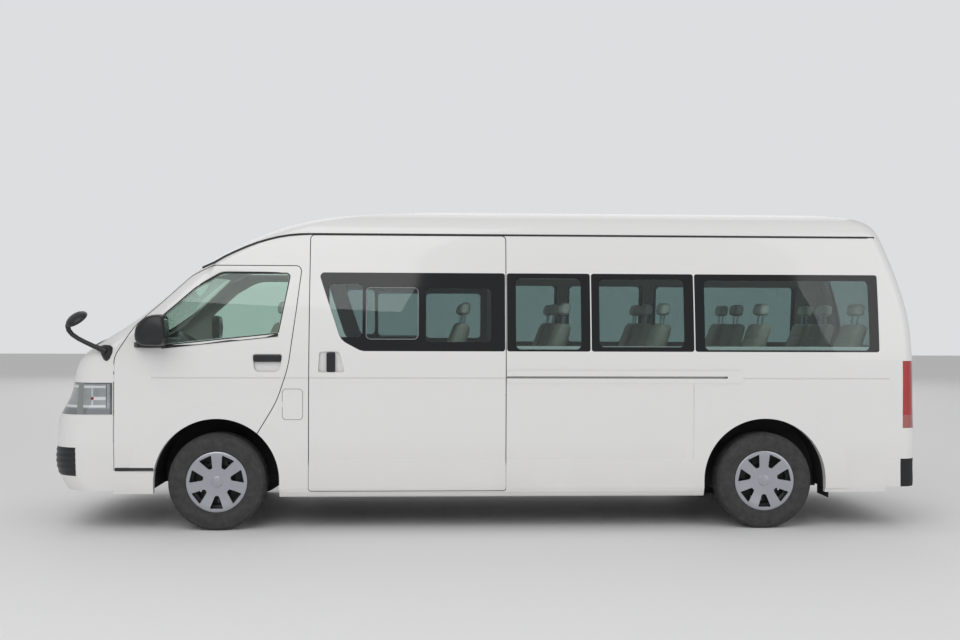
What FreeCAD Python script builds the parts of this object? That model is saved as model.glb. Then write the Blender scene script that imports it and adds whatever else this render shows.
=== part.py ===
import FreeCAD, Part
import Sketcher
import math
import os

Vector = FreeCAD.Vector
doc = FreeCAD.newDocument("minibus")
sheet = doc.addObject("Spreadsheet::Sheet", "Sizes")

# Driving dimensions in millimetres, angles in degrees
SIZES = (
    ("wheelbase", 3900, "front axle to rear axle"),
    ("frontOverhang", 1250, "front axle to the tip of the front bumper"),
    ("rearOverhang", 1180, "rear axle to the tip of the rear bumper"),
    ("bodyWidth", 1880, "over the lips of the wheel arches"),
    ("bodyHeight", 2290, "ground to the top of the high roof"),
    ("sideWall", 50, "thickness of the body side, outer skin to trim"),
    ("noseWall", 70, "thickness of the nose, measured along the vehicle"),
    ("tailWall", 50, "thickness of the rear wall"),
    ("roofWall", 35, "thickness of the roof"),
    ("doorWall", 44, "thickness of a door that swings"),
    ("doorGap", 6, "gap round a door"),
    ("seat", 0.3, "clearance of a piece laid on its seat"),
    ("runningFit", 0.05, "radial clearance of a bearing"),
    ("sillBottom", 235, "underside of the sill"),
    ("bumperBottom", 285, "underside of the front bumper"),
    ("bumperTop", 812, "top of the front bumper"),
    ("rearBumperBottom", 300, "underside of the rear bumper"),
    ("rearBumperTop", 500, "top of the rear bumper"),
    ("dripHeight", 2100, "drip moulding along the side"),
    ("archRadius", 440, "opening of a wheel arch"),
    ("archHeight", 350, "centre of a wheel arch above the ground"),
    ("flareRadius", 612, "outer end of the arch's flare"),
    ("floorTop", 620, "top of the passenger floor"),
    ("floorThickness", 45, "passenger floor"),
    ("tyreRadius", 343, "outside of the tyre"),
    ("tyreWidth", 195, "across the tread's shoulders"),
    ("rimRadius", 190.5, "bead seat of a 15 inch rim"),
    ("rimWidth", 160, "over the rim's flanges"),
    ("track", 1655, "between the wheels' centre planes"),
    ("spindleRadius", 30, "bearing spindle of each hub"),
    ("kingpinRadius", 16, "steering pin"),
    ("kingpinInset", 95, "kingpin axis inboard of the wheel's centre plane"),
    ("glassThickness", 5, "side glass"),
    ("windowSill", 1267, "lower edge of the side windows"),
    ("windowHead", 1825, "upper edge of the side windows"),
)
for row, (alias, value, meaning) in enumerate(SIZES, start=1):
    sheet.set("A%d" % row, meaning)
    sheet.set("B%d" % row, str(value))
    sheet.setAlias("B%d" % row, alias)
doc.recompute()


def size(alias):
    return float(getattr(sheet, alias))


frontAxle = -(size("frontOverhang") + size("wheelbase") + size("rearOverhang")) / 2 + size("frontOverhang")
rearAxle = frontAxle + size("wheelbase")
noseTip = frontAxle - size("frontOverhang")
tailTip = rearAxle + size("rearOverhang")
halfWidth = size("bodyWidth") / 2
LEFT, RIGHT = -1, 1


# Outlines and prisms
def outline(rows, plane="xz", offset=0.0):
    """A closed wire through rows of u, v and corner radius, in the plane named by its two axes."""
    place = {"xz": lambda u, v: Vector(u, offset, v),
             "yz": lambda u, v: Vector(offset, u, v),
             "xy": lambda u, v: Vector(u, v, offset)}[plane]
    points = [(place(u, v), radius) for u, v, radius in rows]
    edges = []
    start = None
    first = None
    for index, (corner, radius) in enumerate(points):
        before = points[index - 1][0]
        after = points[(index + 1) % len(points)][0]
        toward = (before - corner).normalize()
        away = (after - corner).normalize()
        turn = toward.getAngle(away)
        reach = radius / math.tan(turn / 2) if radius else 0.0
        arc_in = corner + toward * reach
        arc_out = corner + away * reach
        if start is not None and (arc_in - start).Length > 1e-6:
            edges.append(Part.LineSegment(start, arc_in).toShape())
        if radius:
            bisector = (toward + away).normalize()
            middle = corner + bisector * (radius / math.sin(turn / 2) - radius)
            edges.append(Part.Arc(arc_in, middle, arc_out).toShape())
        if first is None:
            first = arc_in
        start = arc_out
    if (first - start).Length > 1e-6:
        edges.append(Part.LineSegment(start, first).toShape())
    return Part.Wire(edges)


def grown(wire, distance):
    """The same outline moved outwards by a distance."""
    return wire.makeOffset2D(distance, 2) if distance else wire


def side_prism(wire, side, inner=300.0, outer=1300.0):
    """A side outline driven through one side of the body."""
    face = Part.Face(wire)
    face.translate(Vector(0, side * inner, 0))
    return face.extrude(Vector(0, side * (outer - inner), 0))


def along_prism(wire, start, end):
    """A front-view outline driven along the vehicle."""
    face = Part.Face(wire)
    face.translate(Vector(start, 0, 0))
    return face.extrude(Vector(end - start, 0, 0))


def block(x0, x1, y0, y1, z0, z1):
    """A box between two corners."""
    return Part.makeBox(x1 - x0, y1 - y0, z1 - z0, Vector(x0, y0, z0))


def rod(start, end, radius):
    """A round bar between two points."""
    axis = end - start
    return Part.makeCylinder(radius, axis.Length, start, axis)


def fuse(shapes):
    """One solid from several."""
    first, rest = shapes[0], list(shapes[1:])
    joined = first.fuse(rest) if rest else first
    return joined.removeSplitter()


# The body's outer form: plan sections, each a bowed nose, two corners, two sides and a bowed tail
# height, nose set back, tail set in, side set in, front corner radius, rear corner radius
SECTIONS = (
    (235, 130, 45, 36, 200, 110),
    (420, 5, 5, 15, 220, 110),
    (600, 0, 0, 8, 225, 110),
    (770, 12, 3, 7, 225, 110),
    (850, 42, 6, 7, 220, 110),
    (930, 85, 8, 6, 215, 110),
    (1080, 122, 10, 7, 205, 110),
    (1210, 172, 13, 11, 190, 110),
    (1310, 290, 20, 17, 175, 110),
    (1440, 492, 29, 29, 158, 110),
    (1674, 795, 78, 55, 150, 110),
    (1847, 995, 132, 78, 150, 115),
    (2002, 1258, 191, 98, 170, 120),
    (2142, 1575, 248, 132, 200, 140),
    (2190, 1730, 275, 160, 230, 170),
    (2227, 1890, 315, 200, 260, 200),
    (2255, 2110, 380, 255, 280, 230),
    (2273, 2370, 480, 340, 280, 240),
    (2284, 2700, 640, 460, 240, 220),
    (2290, 3100, 850, 600, 180, 160),
)
NOSE_BOW, TAIL_BOW = 3000.0, 6000.0
BELT, ROOF_TOP, ROOF_START = 1267.0, 2290.0, 1847.0


def tall(height):
    """Heights above the belt stretch with the body's height."""
    if height <= BELT:
        return height
    return BELT + (height - BELT) * (size("bodyHeight") - BELT) / (ROOF_TOP - BELT)


def plan_section(height, nose, tail, half, front_radius, rear_radius):
    """One closed plan section at a height."""
    def corner(end, bow, radius, way):
        centre_y = half - radius
        bow_centre = end - way * bow
        centre_x = bow_centre + way * math.sqrt((bow - radius) ** 2 - centre_y ** 2)
        share = bow / (bow - radius)
        on_bow = (bow_centre + (centre_x - bow_centre) * share, centre_y * share)
        angle = (math.atan2(on_bow[1] - centre_y, on_bow[0] - centre_x) + math.pi / 2) / 2
        middle = (centre_x + radius * math.cos(angle), centre_y + radius * math.sin(angle))
        return on_bow, middle, (centre_x, half)

    def point(place, side):
        return Vector(place[0], side * place[1], height)

    front = corner(nose, NOSE_BOW, front_radius, -1)
    rear = corner(tail, TAIL_BOW, rear_radius, 1)
    edges = [Part.Arc(point(front[0], -1), Vector(nose, 0, height), point(front[0], 1)).toShape(),
             Part.Arc(*[point(place, 1) for place in front]).toShape(),
             Part.LineSegment(point(front[2], 1), point(rear[2], 1)).toShape(),
             Part.Arc(*[point(place, 1) for place in reversed(rear)]).toShape(),
             Part.Arc(point(rear[0], 1), Vector(tail, 0, height), point(rear[0], -1)).toShape(),
             Part.Arc(*[point(place, -1) for place in rear]).toShape(),
             Part.LineSegment(point(rear[2], -1), point(front[2], -1)).toShape(),
             Part.Arc(*[point(place, -1) for place in reversed(front)]).toShape()]
    return Part.Wire(edges)


def body_form(side_in=0.0, nose_in=None, tail_in=None, roof_in=0.0, deeper=0.0):
    """The body's form, drawn in by a wall on each side and open below by a depth."""
    nose_in = side_in if nose_in is None else nose_in
    tail_in = side_in if tail_in is None else tail_in
    wires = []
    for index, (height, nose, tail, side, front_radius, rear_radius) in enumerate(SECTIONS):
        lower = deeper if index == 0 else 0.0
        rise = min(max((height - ROOF_START) / (ROOF_TOP - ROOF_START), 0.0) * 3, 1.0)
        wires.append(plan_section(tall(height) - roof_in * rise - lower,
                                  noseTip + nose + nose_in, tailTip - tail - tail_in,
                                  halfWidth - side - side_in,
                                  max(front_radius - side_in, 40), max(rear_radius - side_in, 30)))
    return Part.makeLoft(wires, True, False)


outerForm = body_form()
cavity = body_form(size("sideWall"), size("noseWall"), size("tailWall"), size("roofWall"), deeper=40.0)
doorCavity = body_form(size("doorWall"), size("doorWall"), size("doorWall"), size("roofWall"), deeper=40.0)


def x_front(distance):
    return frontAxle + distance


def x_rear(distance):
    return rearAxle + distance


# The flare of each wheel arch: a wedge turned about the wheel, proud of the skin at the opening
FLARE_DEPTH, FLARE_FADE = 42.0, 9.0


def arch_flare(axle, side):
    """The flare round one wheel arch."""
    lip = size("archRadius") - 12
    rows = ((lip, halfWidth - FLARE_DEPTH), (lip, halfWidth),
            (size("flareRadius"), halfWidth - FLARE_FADE), (size("flareRadius"), halfWidth - FLARE_DEPTH))
    points = [Vector(axle + radius, side * y, size("archHeight")) for radius, y in rows]
    ring = Part.Face(Part.makePolygon(points + points[:1]))
    solid = ring.revolve(Vector(axle, 0, size("archHeight")), Vector(0, 1, 0), 360)
    if solid.Volume < 0:
        solid.reverse()
    reach = size("flareRadius") + 20
    whole = solid.common(block(axle - reach, axle + reach, -1300, 1300, size("archHeight") - 60, 1300))
    return whole.cut(arch_opening(axle, side, size("archRadius"), 400, 1300))


def arch_opening(axle, side, radius, inner, outer):
    """The space of a wheel arch, round above its centre and straight below."""
    round_part = Part.makeCylinder(radius, outer - inner, Vector(axle, side * inner, size("archHeight")),
                                   Vector(0, side, 0))
    low, high = sorted((side * inner, side * outer))
    lower = block(axle - radius, axle + radius, low, high, 0, size("archHeight"))
    return round_part.fuse(lower)


# Outlines seen from the side: distance behind the front axle, height, corner radius
FRONT_DOOR = ((-713, 424, 15), (-713, 1225, 160), (-571, 1449, 250), (-204, 1795, 250), (-40, 1872, 120),
              (588, 1872, 40), (548, 1536, 1500), (497, 1150, 900), (418, 910, 700), (286, 689, 0), (0, 424, 0))
FRONT_DOOR_GLASS = ((-390, 1300, 25), (430, 1388, 25), (512, 1822, 30), (25, 1822, 300), (-160, 1716, 300),
                    (-392, 1510, 60))
SLIDING_DOOR = ((643, 278, 20), (643, 2094, 30), (2038, 2094, 30), (2038, 278, 20))
SLIDING_GLASS = ((705, 1825, 30), (865, 1345, 120), (1010, 1267, 120), (2031, 1267, 20), (2031, 1825, 20))
FUEL_FLAP = ((460, 785, 25), (460, 998, 25), (600, 998, 25), (600, 785, 25))
SIDE_PANES = ((2044, 2641), (2649, 3388), (3396, 4735))
PANE_CORNER = 18.0

# Outlines seen from the front or the rear: distance from the middle, height, corner radius
REAR_GLASS = ((-735, 1230, 60), (-680, 1900, 70), (680, 1900, 70), (735, 1230, 60))
TAILGATE = ((-782, 510, 20), (-792, 1230, 300), (-722, 2098, 40), (722, 2098, 40), (792, 1230, 300), (782, 510, 20))
WINDSCREEN = ((-845, 1318, 60), (-752, 1852, 60), (752, 1852, 60), (845, 1318, 60))
HEADLAMP = ((555, 872, 30), (560, 1042, 30), (990, 1042, 0), (990, 819, 0), (700, 819, 60))
TAIL_LAMP = ((800, 722, 12), (806, 1205, 12), (990, 1205, 0), (990, 722, 0))
GRILLE = ((-545, 930, 12), (-545, 1036, 20), (545, 1036, 20), (545, 930, 12))
INTAKE = ((-640, 380, 40), (-660, 590, 50), (660, 590, 50), (640, 380, 40))
ROOF_EDGE = ((-98, 1864), (36, 1939), (187, 2006), (338, 2058), (491, 2091), (644, 2100))
WINDOW_LAP, DOOR_WINDOW_LAP = 38.0, 12.0

# Handle pockets of the doors, and the cover over the sliding door's rail
DOOR_POCKET = ((262, 1120, 40), (250, 1244, 14), (456, 1244, 14), (440, 1120, 40))
SLIDING_POCKET = ((709, 1118, 12), (716, 1263, 22), (858, 1263, 30), (896, 1118, 14))
RAIL_COVER = ((2043, 1041, 0), (2043, 1133, 0), (3745, 1133, 22), (3745, 1041, 22))
RAIL_SLOT = ((2043, 1076, 0), (2043, 1091, 0), (3627, 1091, 5), (3627, 1076, 5))
HANDLE_FLOOR, RAIL_ROOT, RAIL_Y = 912.0, 900.0, 938.0


def from_front(rows):
    """Side rows set behind the front axle and at their real heights."""
    return [(x_front(x), tall(height), radius) for x, height, radius in rows]


def raised(rows):
    """Front-view rows at their real heights."""
    return [(y, tall(height), radius) for y, height, radius in rows]


def mirrored(shape):
    """The same piece on the other side of the vehicle."""
    return shape.mirror(Vector(0, 0, 0), Vector(0, 1, 0))


halfSeam = size("seat") / 2
doorHalfGap = size("doorGap") / 2
frontDoorOutline = outline(from_front(FRONT_DOOR))
slidingDoorOutline = outline(from_front(SLIDING_DOOR))
fuelFlapOutline = outline(from_front(FUEL_FLAP))
tailgateOutline = outline(raised(TAILGATE), "yz")
windscreenOutline = outline(raised(WINDSCREEN), "yz")
tailStart = tailTip - 480


def roof_zone(shift):
    """Everything above the drip line, moved by a shift."""
    rows = [(noseTip - 200, tall(ROOF_EDGE[0][1]) + shift, 0)]
    rows += [(x_front(x), tall(height) + shift, 0) for x, height in ROOF_EDGE]
    rows += [(tailTip + 200, tall(ROOF_EDGE[-1][1]) + shift, 0), (tailTip + 200, 2600, 0), (noseTip - 200, 2600, 0)]
    return side_prism(outline(rows), RIGHT, -1300, 1300)


def front_zone(shift):
    """Everything ahead of the front doors' rear half, up to the seam over the door."""
    return side_prism(outline([(noseTip - 200, 200, 0), (x_front(-425) + shift, 200, 0),
                               (x_front(-425) + shift, 500, 0), (x_front(-500) + shift, 1350, 0),
                               (x_front(60) + shift, 1850, 0), (x_front(60) + shift, 2400, 0),
                               (noseTip - 200, 2400, 0)]), RIGHT, -1300, 1300)


# Depths of the glass below the skin
FLUSH, DOOR_GLASS_DEPTH, SCREEN_DEPTH = 2.0, 9.0, 3.0
recessForm = body_form(FLUSH + size("glassThickness") + size("seat"))
doorRecessForm = body_form(DOOR_GLASS_DEPTH + size("glassThickness") + size("seat"))
flushForm = body_form(FLUSH)
glassBackForm = body_form(FLUSH + size("glassThickness"))
doorGlassForm = body_form(DOOR_GLASS_DEPTH)
doorGlassBackForm = body_form(DOOR_GLASS_DEPTH + size("glassThickness"))


def pane(prism, front, back):
    """A pane between two depths of the skin."""
    return prism.common(front).cut(back)


def side_pane_wires(side):
    """The outlines of the panes set in a fixed body side."""
    sill, head = size("windowSill"), size("windowHead")
    rows = [((start, sill, PANE_CORNER), (start, head, PANE_CORNER), (end, head, PANE_CORNER), (end, sill, PANE_CORNER))
            for start, end in SIDE_PANES]
    if side == RIGHT:
        rows.append(SLIDING_GLASS)
    return [outline(from_front(row)) for row in rows]


# Pressed lines of the body side: a groove at the belt, a joint line, and the raised sill below
GROOVE_Z, GROOVE_WIDTH, GROOVE_DEPTH = 1077.0, 9.0, 3.5
JOINT_X, JOINT_WIDTH, JOINT_DEPTH = 3382.0, 4.0, 2.0
BELT_Y, SILL_Y, SILL_TOP = 933.0, 935.5, 505.0


def side_grooves(side):
    """The belt groove and the upright joint line of one side."""
    spans = ((x_front(-450), x_rear(900), GROOVE_Z - GROOVE_WIDTH / 2, GROOVE_Z + GROOVE_WIDTH / 2, GROOVE_DEPTH),
             (x_front(JOINT_X), x_front(JOINT_X) + JOINT_WIDTH, SILL_TOP, 1030, JOINT_DEPTH))
    return [block(x0, x1, *sorted((side * (BELT_Y - depth), side * 1000)), z0, z1)
            for x0, x1, z0, z1, depth in spans]


def raised_sill(side):
    """The lower band of the side, proud of the skin between the wheel arches."""
    wire = outline([(side * 905, 262, 0), (side * (SILL_Y - 6), 268, 0), (side * SILL_Y, 300, 0),
                    (side * SILL_Y, SILL_TOP - 5, 0), (side * (SILL_Y - 6), SILL_TOP, 0), (side * 905, SILL_TOP, 0)],
                   "yz")
    return along_prism(wire, frontAxle + size("archRadius") - 20, rearAxle - size("archRadius") + 20)


def walled(zone, hollow, proud=()):
    """The body's wall inside a zone, with what stands proud of the skin there."""
    wall = zone.common(outerForm).cut(hollow)
    return wall.fuse([form.common(zone) for form in proud]) if proud else wall


def biggest(shape):
    """The largest solid of a cut, without slivers."""
    solids = shape.Solids
    return solids[0] if len(solids) == 1 else max(solids, key=lambda solid: solid.Volume)


def recesses(wires, side, form):
    """The seats of the panes in one side, outside a form."""
    return Part.makeCompound([side_prism(wire, side, 700, 1200) for wire in wires]).cut(form)


# Front doors
def front_door(side):
    """A front door as thick as the whole door, its window cut."""
    wire = outline(from_front(FRONT_DOOR_GLASS))
    zone = side_prism(grown(frontDoorOutline, -doorHalfGap), side, 700, 1200)
    zone = zone.cut([arch_opening(frontAxle, side, size("archRadius"), 400, 1300),
                     side_prism(grown(wire, -DOOR_WINDOW_LAP), side)])
    door = walled(zone, doorCavity, [arch_flare(frontAxle, side)])
    return biggest(door.cut(side_grooves(side)[:1] + [recesses([wire], side, doorRecessForm),
                                                      side_prism(outline(from_front(DOOR_POCKET)), side,
                                                                 HANDLE_FLOOR, 1000)]))


def front_door_glass(side):
    """The glass of a front door in its frame."""
    wire = grown(outline(from_front(FRONT_DOOR_GLASS)), -size("seat"))
    return pane(side_prism(wire, side, 700, 1200), doorGlassForm, doorGlassBackForm)


# Sliding door on the left
def sliding_door():
    """The sliding door, closed, as thick as the body side."""
    wire = outline(from_front(SLIDING_GLASS))
    zone = side_prism(grown(slidingDoorOutline, -doorHalfGap), LEFT, 700, 1200)
    zone = zone.cut(side_prism(grown(wire, -WINDOW_LAP), LEFT))
    door = walled(zone, cavity, [raised_sill(LEFT)])
    return biggest(door.cut(side_grooves(LEFT)[:1] + [recesses([wire], LEFT, recessForm),
                                                      side_prism(outline(from_front(SLIDING_POCKET)), LEFT,
                                                                 HANDLE_FLOOR, 1000)]))


# Fixed body sides
def body_side(side):
    """A body side from the front door to the tailgate, with all that opens or shows through it cut out."""
    low, high = sorted((side * 5, side * 1300))
    wires = side_pane_wires(side)
    cuts = [roof_zone(-halfSeam), front_zone(halfSeam), side_prism(grown(frontDoorOutline, doorHalfGap), side),
            along_prism(grown(tailgateOutline, doorHalfGap), tailStart, tailTip + 200),
            block(x_rear(REAR_SEAM) - halfSeam, tailTip + 100, -1300, 1300, 200, size("rearBumperTop") + halfSeam),
            block(x_rear(size("archRadius") - 5), x_rear(REAR_SEAM) + 10, -1300, 1300, 200, 262),
            tail_lamp_prism(side, size("seat"))]
    if side == LEFT:
        cuts += [side_prism(grown(slidingDoorOutline, doorHalfGap), side),
                 side_prism(grown(fuelFlapOutline, FLAP_GAP), side, 850)]
    zone = block(x_front(-100), tailTip + 50, low, high, size("sillBottom") - 5, 2400)
    for tool in cuts + [arch_opening(axle, side, size("archRadius"), 400, 1300) for axle in (frontAxle, rearAxle)]:
        zone = zone.cut(tool)
    zone = zone.cut([side_prism(grown(wire, -WINDOW_LAP), side) for wire in wires])
    wall = walled(zone, cavity, [arch_flare(axle, side) for axle in (frontAxle, rearAxle)] + [raised_sill(side)])
    grooves = side_grooves(side) + [recesses(wires, side, recessForm)]
    if side == RIGHT:
        return biggest(wall.cut(grooves))
    slot = side_prism(outline(from_front(RAIL_SLOT)), LEFT, RAIL_ROOT + 5, 1000)
    rail = side_prism(outline(from_front(RAIL_COVER)), LEFT, RAIL_ROOT, RAIL_Y).cut(slot)
    foot = Vector(x_front(FLAP_HINGE_X), -FLAP_HINGE_Y, FLAP_HINGE_Z - 20)
    leaf = block(foot.x - FLAP_GAP, foot.x, foot.y - 0.8, foot.y + 0.8, foot.z, foot.z + 40)
    hinge = Part.makeCylinder(FLAP_GAP / 2 - size("seat"), 40, foot).fuse(leaf)
    return biggest(wall.cut(grooves + [slot]).fuse([rail, hinge]))


REAR_SEAM, FLAP_GAP = 886.0, 3.0
FLAP_HINGE_X, FLAP_HINGE_Y, FLAP_HINGE_Z = 458.5, 934.0, 891.5
LAMP_DEPTH, LAMP_START = 46.0, 1004.0


def tail_lamp_prism(side, margin):
    """The pocket of a tail lamp at the rear corner."""
    wire = outline(raised([(side * y, height, radius) for y, height, radius in TAIL_LAMP]), "yz")
    return along_prism(grown(wire, margin), x_rear(LAMP_START) - margin, tailTip + 50)


def headlamp_prism(side, margin):
    """The pocket of a headlamp at the front corner."""
    wire = outline([(side * y, height, radius) for y, height, radius in HEADLAMP], "yz")
    return along_prism(grown(wire, margin), noseTip - 50, x_front(-722) + margin)


def side_windows():
    """Every fixed pane of the body sides, set flush in its recess."""
    prisms = [side_prism(grown(wire, -size("seat")), side, 700, 1200)
              for side in (LEFT, RIGHT) for wire in side_pane_wires(side)]
    return pane(Part.makeCompound(prisms), flushForm, glassBackForm)


def nose():
    """Nose panel, wings ahead of the doors, windscreen pillars, door steps and the doors' hinge pins."""
    zone = block(noseTip - 50, x_front(120), -1300, 1300, 262, 2400).common(front_zone(-halfSeam))
    cuts = [roof_zone(-halfSeam), block(noseTip - 60, x_front(BUMPER_END) + halfSeam, -1300, 1300,
                                        200, size("bumperTop") + halfSeam),
            along_prism(grown(windscreenOutline, -28), noseTip - 100, x_front(600)),
            along_prism(outline(GRILLE, "yz"), noseTip - 100, noseTip + 400)]
    for side in (LEFT, RIGHT):
        cuts += [arch_opening(frontAxle, side, size("archRadius"), 400, 1300),
                 side_prism(grown(frontDoorOutline, doorHalfGap), side), headlamp_prism(side, size("seat"))]
    for tool in cuts:
        zone = zone.cut(tool)
    screen = along_prism(windscreenOutline, noseTip - 100, x_front(600))
    wall = walled(zone, cavity).cut(screen.cut(body_form(SCREEN_DEPTH + SCREEN_WALL + size("seat"))))
    return keep_large(wall.fuse(door_hinge_pins()))


DOOR_HINGE_X, DOOR_HINGE_Y = -713.0, 931.0
DOOR_HINGE_HEIGHTS, HINGE_LENGTH = (1075.0, 1147.0), 50.0


def door_hinge_pins():
    """Two pins in the gap ahead of each front door, on its hinge line."""
    radius = doorHalfGap - size("seat")
    pieces = []
    for side in (LEFT, RIGHT):
        for height in DOOR_HINGE_HEIGHTS:
            foot = Vector(x_front(DOOR_HINGE_X), side * DOOR_HINGE_Y, height - HINGE_LENGTH / 2)
            shaft = Part.makeCylinder(radius, HINGE_LENGTH, foot)
            leaf = block(foot.x - doorHalfGap - 4, foot.x, foot.y - 2, foot.y + 2,
                         foot.z, foot.z + HINGE_LENGTH)
            pieces.append(shaft.fuse(leaf))
    return pieces


BUMPER_END, EASED_Y, SCREEN_WALL = -715.0, 928.0, 9.0


def windscreen():
    """The windscreen, bowed with the nose."""
    prism = along_prism(grown(windscreenOutline, -size("seat")), noseTip - 100, x_front(600))
    return biggest(pane(prism, body_form(SCREEN_DEPTH), body_form(SCREEN_DEPTH + SCREEN_WALL)))


FRONT_PLATE_HEIGHT, REAR_PLATE_HEIGHT = 690.0, 860.0
PLATE_SPACING, PLATE_HOLE = 210.0, 3.0


def plate_holes(start, height):
    """The two screw holes of a registration plate, along the vehicle."""
    return [Part.makeCylinder(PLATE_HOLE, 200, Vector(start, side * PLATE_SPACING / 2, height), Vector(1, 0, 0))
            for side in (LEFT, RIGHT)]


def eased_edge(side):
    """The corner taken off the bumper's rear edge, where the open front door swings past it."""
    x, foot = x_front(BUMPER_END) - halfSeam, size("bumperBottom") - 10
    corners = [Vector(x + 10, side * (EASED_Y - 10), foot), Vector(x + 10, side * (EASED_Y + 30), foot),
               Vector(x - 30, side * (EASED_Y + 30), foot)]
    return Part.Face(Part.makePolygon(corners + corners[:1])).extrude(Vector(0, 0, 800))


def front_bumper():
    """Bumper cover wrapped round both corners, with its lower intake."""
    zone = block(noseTip - 50, x_front(BUMPER_END) - halfSeam, -1300, 1300,
                 size("bumperBottom"), size("bumperTop") - halfSeam)
    zone = zone.cut(along_prism(outline(INTAKE, "yz"), noseTip - 60, noseTip + 300))
    zone = zone.cut(plate_holes(noseTip - 60, FRONT_PLATE_HEIGHT))
    return biggest(walled(zone, cavity).cut([eased_edge(side) for side in (LEFT, RIGHT)]))


def rear_bumper():
    """Rear bumper wrapped round both corners."""
    zone = block(x_rear(REAR_SEAM) + halfSeam, tailTip + 100, -1300, 1300,
                 size("rearBumperBottom"), size("rearBumperTop") - halfSeam)
    return biggest(zone.common(outerForm).cut(body_form(REAR_BUMPER_WALL, deeper=80.0)))


REAR_BUMPER_WALL = 90.0


TAIL_HINGE_X, TAIL_HINGE_Z, TAIL_HINGE_Y = -232.0, 2098.0, 150.0


def roof():
    """The high roof above the drip line, with the two hinge brackets of the tailgate."""
    zone = roof_zone(halfSeam).cut(along_prism(grown(tailgateOutline, doorHalfGap), tailStart, tailTip + 200))
    radius = doorHalfGap - size("seat")
    line_x, line_z = tailTip + TAIL_HINGE_X, tall(TAIL_HINGE_Z)
    brackets = []
    for side in (LEFT, RIGHT):
        y0, y1 = side * TAIL_HINGE_Y - HINGE_LENGTH / 2, side * TAIL_HINGE_Y + HINGE_LENGTH / 2
        shaft = Part.makeCylinder(radius, HINGE_LENGTH, Vector(line_x, y0, line_z), Vector(0, 1, 0))
        leaf = block(line_x - radius, line_x, y0, y1, line_z, line_z + doorHalfGap + 5)
        brackets.append(shaft.fuse(leaf))
    return biggest(walled(zone, cavity).fuse(brackets))


def tailgate():
    """The tailgate as thick as the whole door, its window cut."""
    glass = outline(raised(REAR_GLASS), "yz")
    zone = along_prism(grown(tailgateOutline, -doorHalfGap), tailStart, tailTip + 200)
    zone = zone.cut(along_prism(grown(glass, -WINDOW_LAP), tailStart, tailTip + 300))
    zone = zone.cut(plate_holes(tailTip - 150, REAR_PLATE_HEIGHT))
    recess = along_prism(glass, tailStart, tailTip + 100).cut(recessForm)
    return biggest(walled(zone, doorCavity).cut(recess))


def tailgate_glass():
    """The pane of the tailgate."""
    prism = along_prism(grown(outline(raised(REAR_GLASS), "yz"), -size("seat")), tailStart, tailTip + 100)
    return biggest(pane(prism, flushForm, glassBackForm))


def lamps(prism_of, deep):
    """A pair of corner lamps, lens and housing in one, under the skin."""
    pair = Part.makeCompound([prism_of(side, 0) for side in (LEFT, RIGHT)])
    return keep_large(pair.common(flushForm).cut(body_form(deep)))


def add(label, shape):
    """A sub-part of the document with its own label."""
    solids = shape.Solids
    feature = doc.addObject("Part::Feature", label)
    feature.Shape = solids[0] if len(solids) == 1 else Part.makeCompound(solids)
    feature.Placement = FreeCAD.Placement()
    feature.Label = label
    return feature


def keep_large(shape, least=1000.0):
    """The solids of a cut that are more than slivers."""
    return Part.makeCompound([solid for solid in shape.Solids if solid.Volume > least])


doorLeft = front_door(LEFT)
doorGlassLeft = front_door_glass(LEFT)
add("front_door_left", doorLeft)
add("front_door_right", mirrored(doorLeft))
add("front_door_glass_left", doorGlassLeft)
add("front_door_glass_right", mirrored(doorGlassLeft))
add("sliding_door", sliding_door())
slidingWire = grown(outline(from_front(SLIDING_GLASS)), -size("seat"))
add("sliding_door_glass", pane(side_prism(slidingWire, LEFT, 700, 1200), flushForm, glassBackForm))
add("side_left", body_side(LEFT))
add("side_right", body_side(RIGHT))
add("side_windows", side_windows())
add("roof", roof())
add("front_panel", nose())
add("windscreen", windscreen())
add("front_bumper", front_bumper())
add("rear_bumper", rear_bumper())
add("tailgate", tailgate())
add("tailgate_glass", tailgate_glass())
add("headlamps", lamps(headlamp_prism, 47.0))
add("tail_lamps", lamps(tail_lamp_prism, LAMP_DEPTH))


def pull_handle(rows, inner, outer, fillet):
    """A moulded pull standing in its pocket."""
    pull = side_prism(outline(from_front(rows)), LEFT, inner, outer)
    front = [edge for edge in pull.Edges if edge.BoundBox.YMax < -outer + 0.01]
    return pull.makeFillet(fillet, front)


DOOR_PULL = ((256, 1190, 14), (256, 1238, 14), (450, 1238, 14), (450, 1190, 14))
SLIDING_PULL = ((767, 1120, 10), (767, 1257, 10), (828, 1257, 10), (828, 1120, 10))
doorPull = pull_handle(DOOR_PULL, HANDLE_FLOOR + size("seat"), 940, 6)
add("front_door_handle_left", doorPull)
add("front_door_handle_right", mirrored(doorPull))
add("sliding_door_handle", pull_handle(SLIDING_PULL, HANDLE_FLOOR + size("seat"), 938, 6))
add("fuel_flap", side_prism(fuelFlapOutline, LEFT, 700, 1200).common(outerForm).cut(body_form(10.0)))


# Parametric helpers: sizes are given as expressions on the sheet
FRONT_X = "((Sizes.frontOverhang - Sizes.wheelbase - Sizes.rearOverhang) / 2)"
REAR_X = "((Sizes.frontOverhang + Sizes.wheelbase - Sizes.rearOverhang) / 2)"
FRAME_TOP = "(Sizes.floorTop - Sizes.floorThickness - Sizes.seat)"
WHEEL_Y = "(Sizes.track / 2)"


def bind(obj, bindings):
    """Bind an object's properties to expressions."""
    for name, expression in bindings.items():
        obj.setExpression(name, str(expression))
    return obj


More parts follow.
